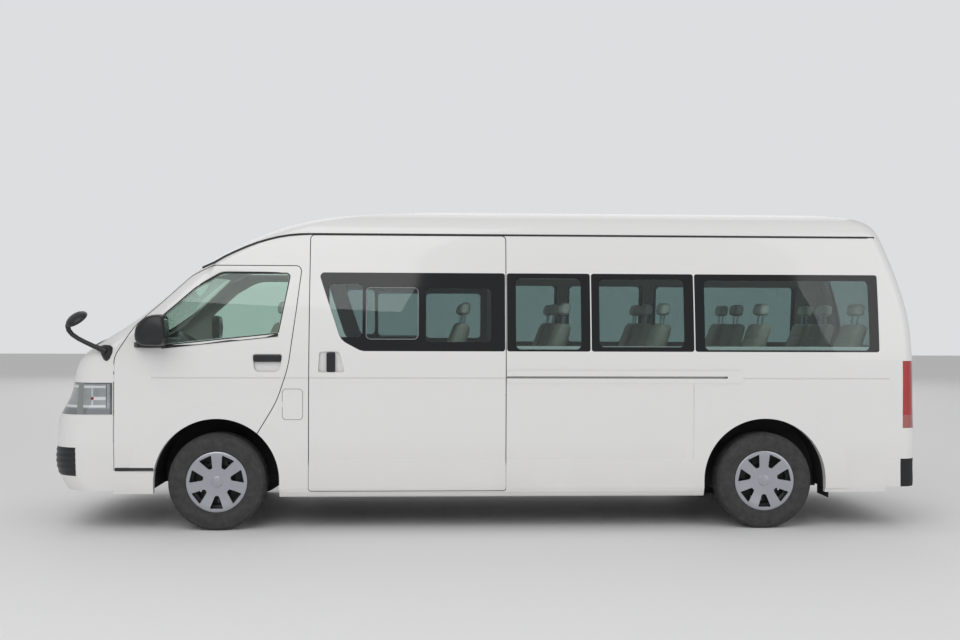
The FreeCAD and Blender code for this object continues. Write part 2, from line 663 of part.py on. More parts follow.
def bar(name, x0, x1, y0, y1, z0, z1):
    """A box between two corners, each coordinate an expression."""
    obj = doc.addObject("Part::Box", name)
    return bind(obj, {"Length": "(%s) - (%s)" % (x1, x0), "Width": "(%s) - (%s)" % (y1, y0),
                      "Height": "(%s) - (%s)" % (z1, z0), "Placement.Base.x": x0,
                      "Placement.Base.y": y0, "Placement.Base.z": z0})


ALONG = {"x": FreeCAD.Rotation(Vector(0, 1, 0), 90), "y": FreeCAD.Rotation(Vector(1, 0, 0), -90),
         "z": FreeCAD.Rotation()}


def pin(name, axis, radius, length, x, y, z):
    """A cylinder along an axis from a point, sizes and place as expressions."""
    obj = doc.addObject("Part::Cylinder", name)
    obj.Placement = FreeCAD.Placement(Vector(), ALONG[axis])
    return bind(obj, {"Radius": radius, "Height": length, "Placement.Base.x": x,
                      "Placement.Base.y": y, "Placement.Base.z": z})


def joined(label, members):
    """One solid fused from several pieces, under its own label."""
    if len(members) == 1:
        members[0].Label = label
        return members[0]
    obj = doc.addObject("Part::MultiFuse", label)
    obj.Shapes = members
    obj.Refine = True
    obj.Label = label
    return obj


def without(label, base, tools):
    """A piece with others cut away, under its own label."""
    obj = doc.addObject("Part::Cut", label)
    obj.Base = base
    if len(tools) == 1:
        obj.Tool = tools[0]
    else:
        obj.Tool = joined(label + "_cuts", tools)
    obj.Label = label
    return obj


def turned(label, rows, x, y, z, turn=0.0):
    """A body turned about its own Y axis from rows of radius and distance along the axis."""
    body = doc.addObject("PartDesign::Body", label)
    body.Label = label
    sketch = body.newObject("Sketcher::SketchObject", label + "_profile")
    plane = [item for item in body.Origin.OriginFeatures if item.Role == "XY_Plane"][0]
    sketch.AttachmentSupport = [(plane, "")]
    sketch.MapMode = "FlatFace"
    count = len(rows)
    guess = [Vector(300 + 10 * math.cos(6.28 * k / count), 10 * math.sin(6.28 * k / count), 0) for k in range(count)]
    for index in range(count):
        sketch.addGeometry(Part.LineSegment(guess[index], guess[(index + 1) % count]), False)
    for index in range(count):
        sketch.addConstraint(Sketcher.Constraint("Coincident", index, 2, (index + 1) % count, 1))
    for index, (radius, along) in enumerate(rows):
        for kind, expression in (("DistanceX", radius), ("DistanceY", along)):
            number = sketch.addConstraint(Sketcher.Constraint(kind, -1, 1, index, 1, guess[index].x if
                                                              kind == "DistanceX" else guess[index].y))
            sketch.setExpression("Constraints[%d]" % number, str(expression))
    revolution = body.newObject("PartDesign::Revolution", label + "_turned")
    revolution.Profile = sketch
    revolution.ReferenceAxis = (sketch, ["V_Axis"])
    revolution.Angle = 360.0
    body.Placement = FreeCAD.Placement(Vector(), FreeCAD.Rotation(Vector(0, 0, 1), turn))
    bind(body, {"Placement.Base.x": x, "Placement.Base.y": y, "Placement.Base.z": z})
    return body


def punched(body, name, corners, count):
    """A straight-sided opening through a turned body, repeated about its axis."""
    sketch = body.newObject("Sketcher::SketchObject", name + "_outline")
    plane = [item for item in body.Origin.OriginFeatures if item.Role == "XZ_Plane"][0]
    sketch.AttachmentSupport = [(plane, "")]
    sketch.MapMode = "FlatFace"
    points = [Vector(x, z, 0) for x, z in corners]
    for index, point in enumerate(points):
        sketch.addGeometry(Part.LineSegment(point, points[(index + 1) % len(points)]), False)
    for index, point in enumerate(points):
        sketch.addConstraint(Sketcher.Constraint("Coincident", index, 2, (index + 1) % len(points), 1))
        sketch.addConstraint(Sketcher.Constraint("DistanceX", -1, 1, index, 1, point.x))
        sketch.addConstraint(Sketcher.Constraint("DistanceY", -1, 1, index, 1, point.y))
    pocket = body.newObject("PartDesign::Pocket", name)
    pocket.Profile = sketch
    pocket.Type = 1
    pocket.Midplane = True
    pattern = body.newObject("PartDesign::PolarPattern", name + "_ring")
    pattern.Originals = [pocket]
    pattern.Axis = (sketch, ["N_Axis"])
    pattern.Angle = 360
    pattern.Occurrences = count
    body.Tip = pattern
    return pattern


# Wheels: a tyre, a pressed rim with hub and brake disc, and a seven-spoke cover
CORNERS = (("front_left", FRONT_X, LEFT), ("front_right", FRONT_X, RIGHT),
           ("rear_left", REAR_X, LEFT), ("rear_right", REAR_X, RIGHT))
TYRE_PROFILE = (("Sizes.tyreRadius", "-0.36 * Sizes.tyreWidth"), ("Sizes.tyreRadius", "0.36 * Sizes.tyreWidth"),
                ("Sizes.tyreRadius - 6", "0.44 * Sizes.tyreWidth"),
                ("Sizes.tyreRadius - 22", "0.485 * Sizes.tyreWidth"),
                ("0.5 * Sizes.tyreRadius + 0.5 * Sizes.rimRadius", "0.5 * Sizes.tyreWidth"),
                ("Sizes.rimRadius + 24", "0.46 * Sizes.tyreWidth"),
                ("Sizes.rimRadius + 14 + Sizes.seat", "Sizes.rimWidth / 2 + 2"),
                ("Sizes.rimRadius + 14 + Sizes.seat", "Sizes.rimWidth / 2 - 8 - Sizes.seat"),
                ("Sizes.rimRadius + Sizes.seat", "Sizes.rimWidth / 2 - 8 - Sizes.seat"),
                ("Sizes.rimRadius + Sizes.seat", "Sizes.rimWidth / 2 - 26"),
                ("Sizes.rimRadius + 30", "0.40 * Sizes.tyreWidth"),
                ("Sizes.tyreRadius - 30", "0.42 * Sizes.tyreWidth"),
                ("Sizes.tyreRadius - 15", "0.34 * Sizes.tyreWidth"),
                ("Sizes.tyreRadius - 15", "-0.34 * Sizes.tyreWidth"),
                ("Sizes.tyreRadius - 30", "-0.42 * Sizes.tyreWidth"),
                ("Sizes.rimRadius + 30", "-0.40 * Sizes.tyreWidth"),
                ("Sizes.rimRadius + Sizes.seat", "-(Sizes.rimWidth / 2 - 26)"),
                ("Sizes.rimRadius + Sizes.seat", "-(Sizes.rimWidth / 2 - 8 - Sizes.seat)"),
                ("Sizes.rimRadius + 14 + Sizes.seat", "-(Sizes.rimWidth / 2 - 8 - Sizes.seat)"),
                ("Sizes.rimRadius + 14 + Sizes.seat", "-(Sizes.rimWidth / 2 + 2)"),
                ("Sizes.rimRadius + 24", "-0.46 * Sizes.tyreWidth"),
                ("0.5 * Sizes.tyreRadius + 0.5 * Sizes.rimRadius", "-0.5 * Sizes.tyreWidth"),
                ("Sizes.tyreRadius - 22", "-0.485 * Sizes.tyreWidth"),
                ("Sizes.tyreRadius - 6", "-0.44 * Sizes.tyreWidth"))
BORE = "Sizes.spindleRadius + Sizes.runningFit"
RIM_PROFILE = (("Sizes.rimRadius + 14", "Sizes.rimWidth / 2"), ("Sizes.rimRadius + 14", "Sizes.rimWidth / 2 - 8"),
               ("Sizes.rimRadius", "Sizes.rimWidth / 2 - 8"), ("Sizes.rimRadius", "Sizes.rimWidth / 2 - 28"),
               ("Sizes.rimRadius - 16", "Sizes.rimWidth / 2 - 40"), ("Sizes.rimRadius - 16", "-10"),
               ("Sizes.rimRadius", "-26"), ("Sizes.rimRadius", "-(Sizes.rimWidth / 2 - 8)"),
               ("Sizes.rimRadius + 14", "-(Sizes.rimWidth / 2 - 8)"), ("Sizes.rimRadius + 14", "-Sizes.rimWidth / 2"),
               ("Sizes.rimRadius - 5", "-Sizes.rimWidth / 2"), ("Sizes.rimRadius - 5", "-24"),
               ("Sizes.rimRadius - 21", "-8"), ("Sizes.rimRadius - 21", "2"), ("120", "10"), ("98", "4"),
               ("68", "4"), ("68", "-22"), ("135", "-22"), ("135", "-44"), ("55", "-44"), ("55", "-60"),
               (BORE, "-60"), (BORE, "45"), ("44", "45"), ("44", "14"), ("100", "14"), ("122", "20"),
               ("Sizes.rimRadius - 21", "12"), ("Sizes.rimRadius - 21", "Sizes.rimWidth / 2 - 38"),
               ("Sizes.rimRadius - 5", "Sizes.rimWidth / 2 - 26"), ("Sizes.rimRadius - 5", "Sizes.rimWidth / 2"))
COVER_PROFILE = (("COVER_R - 6", "Sizes.rimWidth / 2 + 9"), ("COVER_R", "Sizes.rimWidth / 2 + 10"),
                 ("COVER_R", "Sizes.rimWidth / 2 + 13"), ("COVER_R - 16", "Sizes.rimWidth / 2 + 17"),
                 ("COVER_R - 40", "Sizes.rimWidth / 2 + 15"), ("80", "Sizes.rimWidth / 2 - 1"),
                 ("42", "Sizes.rimWidth / 2 - 3"), ("38", "Sizes.rimWidth / 2 + 3"), ("0", "Sizes.rimWidth / 2 + 4"),
                 ("0", "Sizes.rimWidth / 2 - 1"), ("36", "Sizes.rimWidth / 2 - 2"), ("40", "Sizes.rimWidth / 2 - 8"),
                 ("78", "Sizes.rimWidth / 2 - 6"), ("COVER_R - 44", "Sizes.rimWidth / 2 + 9"),
                 ("Sizes.rimRadius + 8", "Sizes.rimWidth / 2 + 10"), ("Sizes.rimRadius + 8", "Sizes.rimWidth / 2 + Sizes.seat"),
                 ("Sizes.rimRadius + 12", "Sizes.rimWidth / 2 + Sizes.seat"),
                 ("Sizes.rimRadius + 12", "Sizes.rimWidth / 2 + 9"))
COVER_PROFILE = tuple((radius.replace("COVER_R", "(Sizes.rimRadius + 24)"), along) for radius, along in COVER_PROFILE)
COVER_WINDOW = ((172, 43), (172, -43), (106, -9), (106, 9))
VENT_CIRCLE, VENT_RADIUS = 145.0, 9.0


def spun(corners, degrees):
    """Corners turned about the wheel's centre."""
    angle = math.radians(degrees)
    return [(x * math.cos(angle) - z * math.sin(angle), x * math.sin(angle) + z * math.cos(angle)) for x, z in corners]


ventCorners = [(VENT_CIRCLE + VENT_RADIUS * math.cos(k * math.pi / 4), VENT_RADIUS * math.sin(k * math.pi / 4))
               for k in range(8)]
for corner, axle_x, side in CORNERS:
    place = (axle_x, "%d * Sizes.track / 2" % side, "Sizes.tyreRadius")
    facing = 0.0 if side == RIGHT else 180.0
    turned("tyre_" + corner, TYRE_PROFILE, *place, turn=facing)
    rim = turned("rim_" + corner, RIM_PROFILE, *place, turn=facing)
    punched(rim, "rim_vents_" + corner, ventCorners, 12)
    cover = turned("wheel_cover_" + corner, COVER_PROFILE, *place, turn=facing)
    punched(cover, "cover_windows_" + corner, spun(COVER_WINDOW, 360 / 28), 7)
doc.recompute()


# Steering knuckles: upright, spindle, pin and steering arm
for name, side in (("knuckle_left", LEFT), ("knuckle_right", RIGHT)):
    sign = "%d * " % side
    pivot_y = sign + "(Sizes.track / 2 - Sizes.kingpinInset)"
    facing = ALONG["y"] if side == RIGHT else FreeCAD.Rotation(Vector(1, 0, 0), 90)
    spindle = pin(name + "_spindle", "y", "Sizes.spindleRadius", "Sizes.kingpinInset + 36",
                  FRONT_X, pivot_y, "Sizes.tyreRadius")
    spindle.Placement = FreeCAD.Placement(spindle.Placement.Base, facing)
    upright = pin(name + "_upright", "z", "24", "170", FRONT_X, pivot_y, "Sizes.tyreRadius - 85")
    steer_pin = pin(name + "_kingpin", "z", "Sizes.kingpinRadius", "256", FRONT_X, pivot_y, "Sizes.tyreRadius - 128")
    arm = bar(name + "_arm", FRONT_X, FRONT_X + " + 135", pivot_y + " - 14", pivot_y + " + 14",
              "Sizes.tyreRadius - 70", "Sizes.tyreRadius - 48")
    joined(name, [spindle, upright, steer_pin, arm])

# Front suspension: crossmember, wishbones with eyes for the kingpins, steering rack
RAIL_IN, RAIL_OUT = "400", "480"
members = [bar("front_crossmember", FRONT_X + " - 60", FRONT_X + " + 60", "-478", "478",
               "Sizes.tyreRadius - 150", "Sizes.tyreRadius - 90")]
holes = []
for side in (LEFT, RIGHT):
    word = "left" if side == LEFT else "right"
    pivot_y = "%d * (Sizes.track / 2 - Sizes.kingpinInset)" % side
    inner_y = "%d * 440" % side
    low_y, high_y = (pivot_y, inner_y) if side == LEFT else (inner_y, pivot_y)
    for level, z0, z1 in (("lower", "Sizes.tyreRadius - 124", "Sizes.tyreRadius - 90"),
                          ("upper", "Sizes.tyreRadius + 90", "Sizes.tyreRadius + 124")):
        members.append(pin("%s_eye_%s" % (level, word), "z", "34", "(%s) - (%s)" % (z1, z0),
                           FRONT_X, pivot_y, z0))
        members.append(bar("%s_arm_%s" % (level, word), FRONT_X + " - 26", FRONT_X + " + 26", low_y, high_y,
                           z0 + " + 4", z1 + " - 4"))
    tower = sorted((side * 400, side * 478))
    members.append(bar("tower_%s" % word, FRONT_X + " - 60", FRONT_X + " + 60", tower[0], tower[1],
                       "Sizes.tyreRadius - 150", FRAME_TOP + " - 95 - Sizes.seat"))
    holes.append(pin("kingpin_hole_" + word, "z", "Sizes.kingpinRadius + Sizes.runningFit", "400",
                     FRONT_X, pivot_y, "Sizes.tyreRadius - 200"))
without("front_suspension", joined("front_suspension_blank", members), holes)

# Rear axle: banjo housing with tubes, spindles, leaf springs and their hangers
rear_members = [pin("axle_tube", "y", "45", "1460", REAR_X, "-730", "Sizes.tyreRadius"),
                pin("axle_spindles", "y", "Sizes.spindleRadius", "Sizes.track + 72", REAR_X,
                    "-Sizes.track / 2 - 36", "Sizes.tyreRadius"),
                pin("differential", "y", "140", "150", REAR_X, "-75", "Sizes.tyreRadius"),
                pin("pinion_housing", "x", "60", "260", REAR_X + " - 260", "0", "Sizes.tyreRadius")]
for side in (LEFT, RIGHT):
    word = "left" if side == LEFT else "right"
    y0, y1 = sorted((side * 520, side * 590))
    for index, (half_length, level) in enumerate(((660, 0), (480, 12), (300, 24))):
        rear_members.append(bar("leaf_%d_%s" % (index, word), REAR_X + " - %d" % half_length,
                                REAR_X + " + %d" % half_length, y0, y1,
                                "Sizes.tyreRadius - 70 - %d" % level, "Sizes.tyreRadius - 58 - %d" % level))
    rear_members.append(bar("spring_seat_" + word, REAR_X + " - 70", REAR_X + " + 70", y0, y1,
                            "Sizes.tyreRadius - 60", "Sizes.tyreRadius - 20"))
    bracket = sorted((side * 480.3, side * 590))
    for end, start in (("front", "- 680"), ("rear", "+ 620")):
        rear_members.append(bar("hanger_%s_%s" % (end, word), REAR_X + " " + start, REAR_X + " " + start + " + 60",
                                bracket[0], bracket[1], "Sizes.tyreRadius - 72", FRAME_TOP + " - 5"))
joined("rear_axle", rear_members)

# Chassis frame: two rails and their crossmembers under the floor
frame_members = []
for word, y0, y1 in (("left", "-480", "-400"), ("right", "400", "480")):
    frame_members.append(bar("rail_" + word, FRONT_X + " - 900", REAR_X + " + 1050", y0, y1,
                             FRAME_TOP + " - 95", FRAME_TOP))
for index, place in enumerate((FRONT_X + " - 880", FRONT_X + " + 1200", FRONT_X + " + 2150",
                               REAR_X + " - 700", REAR_X + " + 330", REAR_X + " + 990")):
    frame_members.append(bar("crossmember_%d" % index, place, place + " + 60", "-410", "410",
                             FRAME_TOP + " - 80", FRAME_TOP + " - 8"))
tow_lug = bar("tow_lug", FRONT_X + " - 985", FRONT_X + " - 890", "-480", "-400", FRAME_TOP + " - 115",
              FRAME_TOP + " - 95")
tow_bracket = bar("tow_bracket", FRONT_X + " - 900", FRONT_X + " - 800", "-480", "-400", FRAME_TOP + " - 115",
                  FRAME_TOP + " - 85")
without("chassis_frame", joined("chassis_frame_blank", frame_members + [tow_lug, tow_bracket]),
        [pin("tow_eye", "z", "16", "60", FRONT_X + " - 942", "-440", FRAME_TOP + " - 140")])

# Engine under the front seats with its gearbox, one plain block each
joined("engine", [bar("engine_block", FRONT_X + " - 150", FRONT_X + " + 470", "-250", "250",
                      "Sizes.tyreRadius - 85", "860"),
                  bar("gearbox", FRONT_X + " + 460", FRONT_X + " + 1080", "-140", "140", "370", "560")])
joined("propeller_shaft", [pin("shaft_tube", "x", "36",
                               "(%s - 260 - Sizes.seat) - (%s + 1080 + Sizes.seat)" % (REAR_X, FRONT_X),
                               FRONT_X + " + 1080 + Sizes.seat", "0", "Sizes.tyreRadius + 60")])
joined("fuel_tank", [bar("tank_body", FRONT_X + " + 900", FRONT_X + " + 1900", "-850", "-480.3", "330", "560")])
joined("spare_wheel", [pin("spare_tyre", "z", "Sizes.tyreRadius", "Sizes.tyreWidth", REAR_X + " + 700", "0",
                           FRAME_TOP + " - 80 - Sizes.seat - Sizes.tyreWidth")])

PIPE_RADIUS, PIPE_Z = 25.0, 430.0
EXHAUST_BENDS = ((frontAxle + 470.3, 215), (rearAxle + 130, 215), (rearAxle + 330, 375), (rearAxle + 980, 375))


def exhaust():
    """Exhaust pipe over the rear axle, round the spare wheel and out under the tail, with its silencer."""
    points = [Vector(x, y, PIPE_Z) for x, y in EXHAUST_BENDS] + [Vector(rearAxle + 1035, 375, PIPE_Z - 60)]
    pieces = [rod(start, end, PIPE_RADIUS) for start, end in zip(points, points[1:])]
    pieces += [Part.makeSphere(PIPE_RADIUS, point) for point in points[1:-1]]
    silencer = rod(Vector(frontAxle + 1500, 215, PIPE_Z - 20), Vector(frontAxle + 2060, 215, PIPE_Z - 20), 85)
    return biggest(fuse(pieces + [silencer]))


add("exhaust", exhaust())
add("mud_flaps", Part.makeCompound([block(x_rear(476), x_rear(484), *sorted((side * 650, side * 872)), 215,
                                          size("floorTop") - size("floorThickness") - size("seat"))
                                    for side in (LEFT, RIGHT)]))


# Floor with its wheel houses, engine cover and front bulkhead
HOUSE_WALL, HOUSE_CLEARANCE = 10.0, 8.0
HOUSES = ((frontAxle, 480.0, 480.0), (rearAxle, 625.0, 420.0))


def door_spaces():
    """The room kept for both front doors, outside the faces of their trim."""
    prisms = [side_prism(grown(frontDoorOutline, 12), side, 500, 1300) for side in (LEFT, RIGHT)]
    return Part.makeCompound(prisms).cut(body_form(size("doorWall") + 12))


def floor():
    """The floor pan, with wheel houses and the cover over the engine."""
    inside = body_form(size("sideWall") + size("seat"), size("noseWall") + size("seat"),
                       size("tailWall") + size("seat"), deeper=40.0)
    top = size("floorTop")
    pieces = [block(noseTip, tailTip, -1300, 1300, top - size("floorThickness"), top)]
    radius = size("archRadius") + HOUSE_CLEARANCE
    for axle, inboard, _ in HOUSES:
        for side in (LEFT, RIGHT):
            pieces.append(arch_opening(axle, side, radius + HOUSE_WALL, inboard, 1200).cut(
                block(axle - 700, axle + 700, -1300, 1300, -10, size("archHeight") - 60)))
    cover = block(frontAxle - 220, frontAxle + 540, -330, 330, top - 5, ENGINE_COVER_TOP)
    whole = fuse(pieces + [cover])
    voids = [arch_opening(axle, side, radius, inboard + HOUSE_WALL, 1300)
             for axle, inboard, _ in HOUSES for side in (LEFT, RIGHT)]
    voids += [block(axle - 120, axle + 120, -1300, 1300, 0, slot_top) for axle, _, slot_top in HOUSES]
    voids.append(block(frontAxle - 205, frontAxle + 525, -315, 315, 0, ENGINE_COVER_TOP - 15))
    return biggest(whole.cut(voids).common(inside).cut(door_spaces()))


ENGINE_COVER_TOP = 900.0
add("floor", floor())

# Instrument panel across the cab, with a hood over the dials on the driver's side
DASH = ((-1010, 1150, 30), (-900, 1275, 40), (-560, 1292, 60), (-470, 1225, 60), (-520, 1010, 60), (-700, 930, 60),
        (-960, 930, 40))


def dashboard():
    """The instrument panel."""
    inside = body_form(size("sideWall") + size("seat"), size("noseWall") + 14, deeper=40.0)
    blank = side_prism(outline(from_front(DASH)), RIGHT, -1300, 1300).common(inside)
    hood = side_prism(outline(from_front(((-680, 1250, 10), (-640, 1340, 30), (-530, 1330, 30), (-520, 1215, 10)))),
                      RIGHT, 220, 610)
    return biggest(blank.fuse(hood).cut(door_spaces()))


panel = add("dashboard", dashboard())

# Steering wheel on its column, on the right
WHEEL_CENTRE = Vector(x_front(-390), 400, 1252)
WHEEL_AXIS = Vector(-math.cos(math.radians(50)), 0, -math.sin(math.radians(50)))


def steering_wheel():
    """Rim, three spokes, boss and column."""
    ring = Part.makeTorus(185, 15, WHEEL_CENTRE, WHEEL_AXIS)
    boss = Part.makeCylinder(52, 50, WHEEL_CENTRE, WHEEL_AXIS)
    across = Vector(0, 1, 0)
    up = WHEEL_AXIS.cross(across)
    spokes = []
    for angle in (0, 180, 270):
        way = across * math.cos(math.radians(angle)) + up * math.sin(math.radians(angle))
        spokes.append(rod(WHEEL_CENTRE + WHEEL_AXIS * 12, WHEEL_CENTRE + way * 183, 12))
    column = rod(WHEEL_CENTRE + WHEEL_AXIS * 40, WHEEL_CENTRE + WHEEL_AXIS * 215, 32)
    return fuse([ring, boss, column] + spokes)


add("steering_wheel", steering_wheel().cut(panel.Shape))

# Seats: leaning backs, cushions and head rests, on pedestals bolted to the floor
SEAT_ROWS = (1560, 2300, 3040, 3780, 4500)
ROW_PLACES = (-560, 130, 600)
SEAT_WIDTH = 430.0
CUSHION_BOTTOM, LEG_LIMIT = 950.0, 618.0
CUSHION = ((-470, CUSHION_BOTTOM, 25), (-470, 1085, 45), (40, 1060, 35), (40, CUSHION_BOTTOM, 25))
BACK = ((-10, 1065, 25), (150, 1500, 42), (250, 1480, 42), (110, 1010, 25))
HEAD_REST = ((135, 1525, 28), (165, 1640, 34), (255, 1625, 34), (235, 1505, 28))


def seat_pads(x, y):
    """Cushion, back and head rest of one seat, fused."""
    pieces = []
    for rows, width in ((CUSHION, SEAT_WIDTH), (BACK, SEAT_WIDTH - 10), (HEAD_REST, 250)):
        wire = outline([(x + u, v, radius) for u, v, radius in rows])
        pieces.append(side_prism(wire, RIGHT, y - width / 2, y + width / 2))
    pieces.append(block(x + 150, x + 215, y - 40, y + 40, 1470, 1530))
    return fuse(pieces)


FRONT_SEATS = ((x_front(215), -470), (x_front(215), 470))
add("front_seats", Part.makeCompound([seat_pads(*place) for place in FRONT_SEATS]))
add("passenger_seats", Part.makeCompound([seat_pads(x_front(x), y) for x in SEAT_ROWS for y in ROW_PLACES]))


def pedestals():
    """Steel legs under every seat."""
    legs = []
    foot, top = size("floorTop") + size("seat"), CUSHION_BOTTOM - size("seat")
    for x in SEAT_ROWS:
        for y in ROW_PLACES:
            back = x_front(x)
            low, high = max(y - 150, -LEG_LIMIT), min(y + 150, LEG_LIMIT)
            legs.append(fuse([block(back - 400, back - 340, low, high, foot, top - 10),
                              block(back - 60, back, low, high, foot, top - 10),
                              block(back - 400, back, low, high, top - 20, top)]))
    house_top = size("archHeight") + size("archRadius") + HOUSE_CLEARANCE + HOUSE_WALL + size("seat")
    for x, y in FRONT_SEATS:
        legs.append(block(x - 400, x, y - 130, y + 130, house_top, top))
    return Part.makeCompound(legs)


add("seat_frames", pedestals())

# Mirrors: a housing on each front door, and a round one on an arm at the front left corner
def door_mirror():
    """Left door mirror: foot on the door, rounded housing."""
    housing = block(x_front(-545), x_front(-365), -1130, -965, 1310, 1520)
    housing = housing.makeFillet(38, housing.Edges)
    foot = block(x_front(-520), x_front(-400), -990, -900, 1318, 1350)
    return biggest(housing.fuse(foot).cut(body_form(-size("seat"))))


doorMirror = door_mirror()
add("door_mirror_left", doorMirror)
add("door_mirror_right", mirrored(doorMirror))


def corner_mirror():
    """Convex mirror on a bent arm from a foot on the wing."""
    knee = Vector(x_front(-1030), -945, 1400)
    root = Vector(x_front(-765), -940, 1265)
    head_point = Vector(x_front(-985), -950, 1470)
    arm = [rod(root, knee, 13), Part.makeSphere(13, knee), rod(knee, head_point, 12)]
    head = Part.makeCylinder(82, 70, Vector(0, 0, -35))
    head = head.makeFillet(30, head.Edges)
    head.rotate(Vector(), Vector(0, 1, 0), 52)
    head.translate(Vector(x_front(-975), -950, 1497))
    foot = side_prism(outline(from_front(((-800, 1303, 20), (-716, 1303, 20), (-760, 1185, 14)))), LEFT,
                      MIRROR_FOOT_Y, MIRROR_FOOT_Y + 20)
    return biggest(fuse(arm + [head, foot]))


MIRROR_FOOT_Y = 929.2
add("corner_mirror", corner_mirror())

# Grille with its bars, and the mesh in the bumper's intake
def grille():
    """A frame with horizontal bars, set into the nose."""
    wire = grown(outline(raised(GRILLE), "yz"), -size("seat"))
    layer = along_prism(wire, noseTip - 50, noseTip + 300).common(body_form(2)).cut(body_form(40, deeper=80.0))
    wide = along_prism(grown(wire, -14), noseTip - 50, noseTip + 300)
    bars = [block(noseTip - 50, noseTip + 300, -545, 545, z, z + 14).common(layer) for z in (957, 996)]
    return fuse([layer.cut(wide)] + bars)


add("grille", grille())


def intake_mesh():
    """The dark louvres in the bumper's lower intake."""
    wire = grown(outline(INTAKE, "yz"), -size("seat"))
    layer = along_prism(wire, noseTip - 50, noseTip + 250).common(body_form(26)).cut(body_form(56, deeper=80.0))
    wide = along_prism(grown(wire, -16), noseTip - 50, noseTip + 250)
    bars = [block(noseTip - 50, noseTip + 250, -700, 700, z, z + 12).common(layer) for z in (420, 460, 500, 540)]
    return fuse([layer.cut(wide)] + bars)


add("intake_grille", intake_mesh())

PARTS = ["roof", "side_left", "side_right", "side_windows", "front_panel", "windscreen", "front_bumper",
         "rear_bumper", "grille", "intake_grille", "headlamps", "tail_lamps", "front_door_left",
         "front_door_right", "front_door_glass_left", "front_door_glass_right", "door_mirror_left",
         "door_mirror_right", "corner_mirror", "front_door_handle_left", "front_door_handle_right",
         "sliding_door", "sliding_door_glass", "sliding_door_handle", "tailgate",
         "tailgate_glass", "fuel_flap", "floor", "dashboard", "steering_wheel", "front_seats",
         "passenger_seats", "seat_frames", "chassis_frame", "front_suspension", "rear_axle", "engine",
         "propeller_shaft", "fuel_tank", "spare_wheel", "exhaust", "mud_flaps", "knuckle_left", "knuckle_right"]
PARTS += [piece + "_" + corner for corner, axle_x, side in CORNERS for piece in ("tyre", "rim", "wheel_cover")]

doc.recompute()
for obj in doc.Objects:
    if "Invalid" in obj.State or "Error" in obj.State:
        raise RuntimeError("%s did not build: %s" % (obj.Label, obj.State))
parts = [doc.getObjectsByLabel(label)[0] for label in PARTS]
for obj in parts:
    if obj.Shape.isNull() or not obj.Shape.isValid():
        raise RuntimeError("%s has no valid shape" % obj.Label)
os.makedirs("parts", exist_ok=True)
for obj in parts:
    obj.Shape.exportStep("parts/%s.step" % obj.Label)
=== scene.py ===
import math

import bmesh
import bpy
from mathutils import Matrix, Vector
from mathutils.bvhtree import BVHTree


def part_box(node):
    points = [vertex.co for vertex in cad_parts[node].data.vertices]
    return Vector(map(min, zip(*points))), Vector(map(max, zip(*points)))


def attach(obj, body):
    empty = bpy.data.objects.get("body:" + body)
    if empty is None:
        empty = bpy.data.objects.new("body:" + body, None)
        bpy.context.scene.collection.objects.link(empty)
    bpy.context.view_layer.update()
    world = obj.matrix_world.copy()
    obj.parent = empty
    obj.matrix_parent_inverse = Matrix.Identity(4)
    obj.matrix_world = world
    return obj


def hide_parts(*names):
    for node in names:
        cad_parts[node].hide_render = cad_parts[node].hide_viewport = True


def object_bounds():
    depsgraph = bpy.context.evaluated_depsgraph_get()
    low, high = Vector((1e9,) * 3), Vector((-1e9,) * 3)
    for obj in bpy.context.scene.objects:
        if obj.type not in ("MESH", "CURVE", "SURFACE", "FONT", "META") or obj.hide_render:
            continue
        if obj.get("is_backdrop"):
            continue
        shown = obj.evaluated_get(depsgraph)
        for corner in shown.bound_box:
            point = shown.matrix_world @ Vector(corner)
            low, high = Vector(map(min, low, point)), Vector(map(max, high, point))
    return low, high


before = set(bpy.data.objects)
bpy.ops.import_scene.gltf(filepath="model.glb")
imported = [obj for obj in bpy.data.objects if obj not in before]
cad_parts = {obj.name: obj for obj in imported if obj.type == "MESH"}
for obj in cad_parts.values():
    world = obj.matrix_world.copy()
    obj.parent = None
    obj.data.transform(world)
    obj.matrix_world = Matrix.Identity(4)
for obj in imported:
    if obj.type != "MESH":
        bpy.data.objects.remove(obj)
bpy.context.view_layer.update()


# Shader tools: sRGB colours, nodes, and the patterns that the finishes share. All patterns are read from
# Object coordinates, so a finish stays on its piece when the piece moves.
def linear(hex_code):
    """The linear colour a shader takes, from an sRGB hex value."""
    parts = [int(hex_code[k:k + 2], 16) / 255 for k in (1, 3, 5)]
    return [part / 12.92 if part <= 0.04045 else ((part + 0.055) / 1.055) ** 2.4 for part in parts] + [1.0]


def add_node(tree, kind, links=None, **settings):
    """One shader node with its settings and its inputs."""
    made = tree.nodes.new("ShaderNode" + kind)
    for name, value in settings.items():
        setattr(made, name, value)
    for name, value in (links or {}).items():
        if isinstance(value, bpy.types.NodeSocket):
            tree.links.new(value, made.inputs[name])
        else:
            made.inputs[name].default_value = value
    return made


